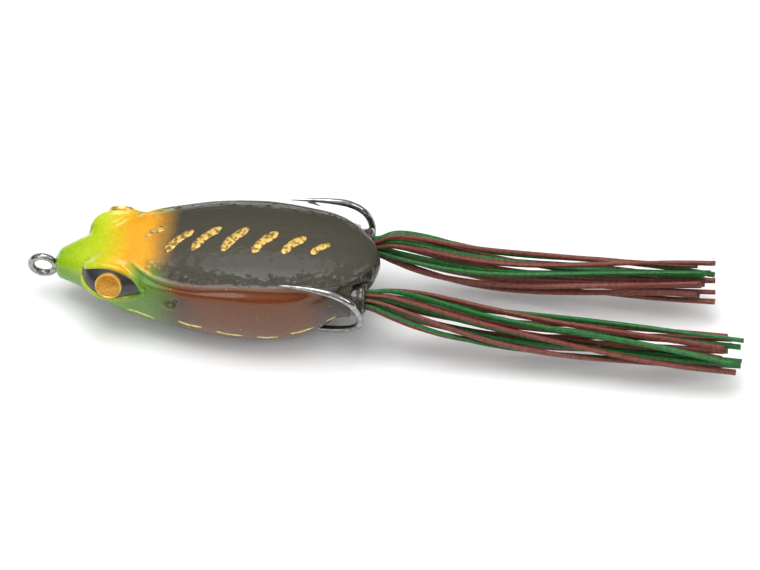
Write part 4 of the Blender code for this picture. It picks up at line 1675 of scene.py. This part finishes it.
@dataclass
class Studio:
    """White sweep, soft lights and the camera."""

    view_azimuth: float = 6.0
    view_elevation: float = 50.0
    view_width: float = 150.5 * MM
    lens: float = 200.0
    sensor: float = 36.0
    target: tuple[float, float, float] = (34.7, 3.3, 5.7)
    floor_size: float = 4.0

    def camera(self) -> None:
        """Set the camera at the view's angle, with a long lens."""
        data = bpy.data.cameras.new("camera")
        data.lens, data.sensor_width = self.lens, self.sensor
        data.clip_start, data.clip_end = 0.05, 20.0
        obj = bpy.data.objects.new("camera", data)
        bpy.context.scene.collection.objects.link(obj)
        turn, rise = math.radians(self.view_azimuth), math.radians(self.view_elevation)
        back = Vector(
            (math.sin(turn) * math.cos(rise), -math.cos(turn) * math.cos(rise), math.sin(rise))
        )
        distance = self.view_width * self.lens / self.sensor
        obj.location = Vector(self.target) * MM + back * distance
        obj.rotation_euler = (-back).to_track_quat("-Z", "Y").to_euler()
        bpy.context.scene.camera = obj

    def floor(self) -> None:
        """Lay the pale floor."""
        deselect()
        bpy.ops.mesh.primitive_plane_add(size=self.floor_size, location=(0.0, 0.0, -0.02 * MM))
        obj = bpy.context.object
        obj.name = "floor"
        paint = bpy.data.materials.new("white_sweep")
        paint.use_nodes = True
        shader = paint.node_tree.nodes["Principled BSDF"]
        shader.inputs["Base Color"].default_value = (0.90, 0.90, 0.90, 1.0)
        shader.inputs["Roughness"].default_value = 0.9
        shader.inputs["Specular IOR Level"].default_value = 0.1
        obj.data.materials.append(paint)
        settle(obj)

    def light(self, name: str, place: tuple[float, float, float], size: float, power: float) -> None:
        """Hang one square soft light, turned to the lure.

        Args:
            name: Name of the light.
            place: Where it hangs, in metres.
            size: Length of its side, in metres.
            power: Power, in watts.
        """
        data = bpy.data.lights.new(name, "AREA")
        data.shape, data.size, data.energy = "SQUARE", size, power
        obj = bpy.data.objects.new(name, data)
        obj.location = place
        aim = Vector(self.target) * MM - Vector(place)
        obj.rotation_euler = aim.to_track_quat("-Z", "Y").to_euler()
        bpy.context.scene.collection.objects.link(obj)

    def build(self) -> None:
        """Set up the whole studio."""
        self.camera()
        self.floor()
        self.light("overhead_softbox", (-0.05, 0.06, 0.74), 0.50, 3.9)
        self.light("front_softbox", (-0.35, -0.65, 0.50), 0.40, 1.2)
        self.light("tail_softbox", (0.60, -0.10, 0.40), 0.30, 1.0)
        world = bpy.data.worlds.new("studio_air")
        world.use_nodes = True
        air = Graph(world.node_tree)
        rise = air.node("SeparateXYZ", {0: air.node("TexCoord").outputs["Generated"]}).outputs["Z"]
        shade = air.blend(air.span(rise, 0.15, 0.75), (0.20, 0.20, 0.21, 1.0), (1.0, 1.0, 1.0, 1.0))
        backdrop = world.node_tree.nodes["Background"]
        air.put(backdrop.inputs["Color"], shade)
        backdrop.inputs["Strength"].default_value = 0.80
        bpy.context.scene.world = world
        bpy.context.scene.view_settings.view_transform = "Standard"
        LOG.info("studio set")


# ---------------------------------------------------------------- skirt legs


@dataclass
class SkirtLeg:
    """One leg of flat-cut rubber strands, from its plug to the cut tips."""

    side: Side
    rings: tuple[tuple[int, float], ...] = ((1, 0.0), (6, 0.86), (9, 1.66))
    swing_ahead: float = 0.9
    root_depth: float = 2.7
    splay: float = 2.0
    droop: float = 6.0
    curl: float = 0.8
    broadening: float = 0.22
    spread: float = 1.15
    width: float = 0.86 * MM
    thickness: float = 0.58 * MM
    corner: float = 0.09 * MM
    steps: int = 10
    ring_count: int = 90
    names: list[str] = field(default_factory=list)

    @property
    def length(self) -> float:
        """The strands' mean length in millimetres, from the collar's mouth."""
        return 72.0 if self.side is Side.LEFT else 66.0

    @property
    def arch(self) -> float:
        """How far the upper strands arch up behind the collar, in millimetres."""
        return 1.8 if self.side is Side.RIGHT else 0.4

    @property
    def twist(self) -> float:
        """Turn of the bundle from root to tip, in radians."""
        return math.radians(100.0 if self.side is Side.LEFT else -80.0)

    def mouth(self) -> Vector:
        """Centre of the collar's mouth."""
        x, y, z = LEG_MOUTH
        return from_nose(x, self.side.value * y, z)

    def slots(self) -> list[tuple[float, float]]:
        """Each strand's place in the bundle, as a radius in millimetres and an angle."""
        return [
            (radius, 2.0 * math.pi * index / count + 0.5 * count)
            for count, radius in self.rings
            for index in range(count)
        ]

    def route(self, number: int) -> list[Vector]:
        """Lay one strand's line, from the plug, out of the collar and to its cut end.

        Args:
            number: The strand's place in the bundle, from 0.

        Returns:
            Points from the root to the tip.
        """
        way = self.side.value
        radius, angle = self.slots()[number]
        length = self.length + 2.0 * math.sin(2.4 * number + way)
        points = []
        for step in range(self.steps):
            share = step / (self.steps - 1)
            out = share**1.35
            along = self.swing_ahead + (length - self.swing_ahead) * out
            opening = 1.0 + self.spread * math.tanh(out / 0.12)
            turn = angle + self.twist * out
            drift = 0.35 * math.tanh(out / 0.3)
            across = radius * opening * math.cos(turn) + drift * math.sin(7.0 * out + 2.0 * number)
            up = radius * opening * math.sin(turn) + drift * math.cos(6.0 * out + 3.0 * number)
            across += way * self.splay * out
            lift = self.arch * max(math.sin(turn), 0.0) * (out / 0.08) * math.exp(1.0 - out / 0.08)
            up += lift + self.curl * out - self.droop * math.tanh((out / 0.3) ** 1.3)
            points.append(self.mouth() + Vector((along, across, up)) * MM)
        root = points[0] - Vector(((self.root_depth + self.swing_ahead) * MM, 0.0, 0.0))
        return smooth_line([root, *points], self.ring_count)

    def section(self) -> list[tuple[float, float]]:
        """Rectangle of the strand's cut, with its corners just broken."""
        half_width, half_height = self.width / 2.0, self.thickness / 2.0
        inner_width, inner_height = half_width - self.corner, half_height - self.corner
        return [
            (half_width, -inner_height),
            (half_width, inner_height),
            (inner_width, half_height),
            (-inner_width, half_height),
            (-half_width, inner_height),
            (-half_width, -inner_height),
            (-inner_width, -half_height),
            (inner_width, -half_height),
        ]

    def strand(self, number: int, finish: bpy.types.Material) -> None:
        """Args:
            number: The strand's place in the bundle, from 0.
            finish: The rubber's material.
        """
        line = self.route(number)
        radius, angle = self.slots()[number]
        wander = 0.9 * math.sin(1.7 * number + self.side.value)
        turns = [
            angle + math.pi / 2.0 + wander * math.sin(4.0 * index / self.ring_count)
            for index in range(len(line))
        ]
        name = f"{self.side.word}_strand_{number + 1:02d}_rubber"
        grown = [
            1.0 + self.broadening * min(1.0, max(0.0, (index - 8) / 16.0)) for index in range(len(line))
        ]
        obj = swept(name, line, self.section(), turns, grown, Vector((0.0, 0.0, 1.0)))
        obj.data.materials.append(finish)
        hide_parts(f"{self.side.word}_strand_{number + 1:02d}")
        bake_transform(obj)
        self.names.append(name)

    def build(self, finishes: tuple[bpy.types.Material, ...]) -> None:
        """Make every strand of the leg, its rubbers in turn."""
        for number in range(len(self.slots())):
            self.strand(number, finishes[number % len(finishes)])
        LOG.info("%s leg: %d strands", self.side.word, len(self.names))


def main() -> None:
    """Build the lure, piece by piece."""
    logging.basicConfig(level=logging.INFO, format="%(name)s: %(message)s")
    Studio().build()
    groups = Groups()
    brown = StrandRubber("brown_rubber", color=paint(124, 62, 47), dark=paint(84, 34, 25))
    green = StrandRubber("green_rubber", color=paint(26, 108, 38), dark=paint(6, 66, 18))
    brown_coat, green_coat = brown.material(groups), green.material(groups)
    rubbers = (brown_coat, green_coat, brown_coat, brown_coat, green_coat)
    for side in Side:
        SkirtLeg(side).build(rubbers)
    form = BodyForm()
    eye = EyePlace(form)
    body = HollowBody(form, eye)
    body.build(
        FrogSkin("flank_vinyl", sheen=0.3).material(groups),
        FrogSkin("back_vinyl", sheen=0.3).material(groups),
    )
    steel = WireSteel("plated_wire", roughness=0.10, metallic=1.0)
    DoubleHook().build(steel.material(groups))
    black = PlainCoat("black_eye_paint", 0.34, coat=0.4, color=paint(38, 38, 38), dark=paint(20, 20, 20))
    gold = GoldFoil("gold_eye_foil", 0.30, 0.75, coat=0.5)
    eye_coats = (black.material(groups), gold.material(groups))
    tail = PlainCoat(
        "tail_vinyl", 0.26, coat=0.7, color=paint(56, 50, 38), dark=paint(38, 33, 25), scale=0.7
    ).material(groups)
    plug = PlainCoat("plug_rubber", 0.7, color=paint(46, 42, 38), dark=paint(28, 26, 24))
    plug_coat = plug.material(groups)
    for side in Side:
        EyePieces(eye, side, body.form_tree).build(*eye_coats)
        LegSocket(side).build(tail, plug_coat)
    lead = PlainCoat(
        "cast_weight", 0.5, 0.9, color=paint(150, 152, 156), dark=paint(96, 98, 102), scale=0.6
    )
    weight = bpy.data.objects["keel_weight"]
    weight.data.materials[0] = lead.material(groups)
    gold_paint = PlainCoat(
        "gold_brush_paint", 0.42, 0.35, color=paint(214, 178, 92), dark=paint(120, 92, 40), scale=1.3
    )
    cream_paint = PlainCoat(
        "cream_brush_paint", 0.40, color=paint(232, 226, 132), dark=paint(196, 184, 96), scale=1.0
    )
    tree = body.outer_tree
    BrushMarks("back_brush_strokes", tree, (0.0, 0.0, -1.0), BACK_STROKES).build(
        gold_paint.material(groups)
    )
    cream = cream_paint.material(groups)
    BrushMarks("left_side_strokes", tree, (0.0, 1.0, 0.0), SIDE_STROKES).build(cream)
    BrushMarks("right_side_strokes", tree, (0.0, -1.0, 0.0), SIDE_STROKES).build(cream)


if __name__ == "__main__":
    main()
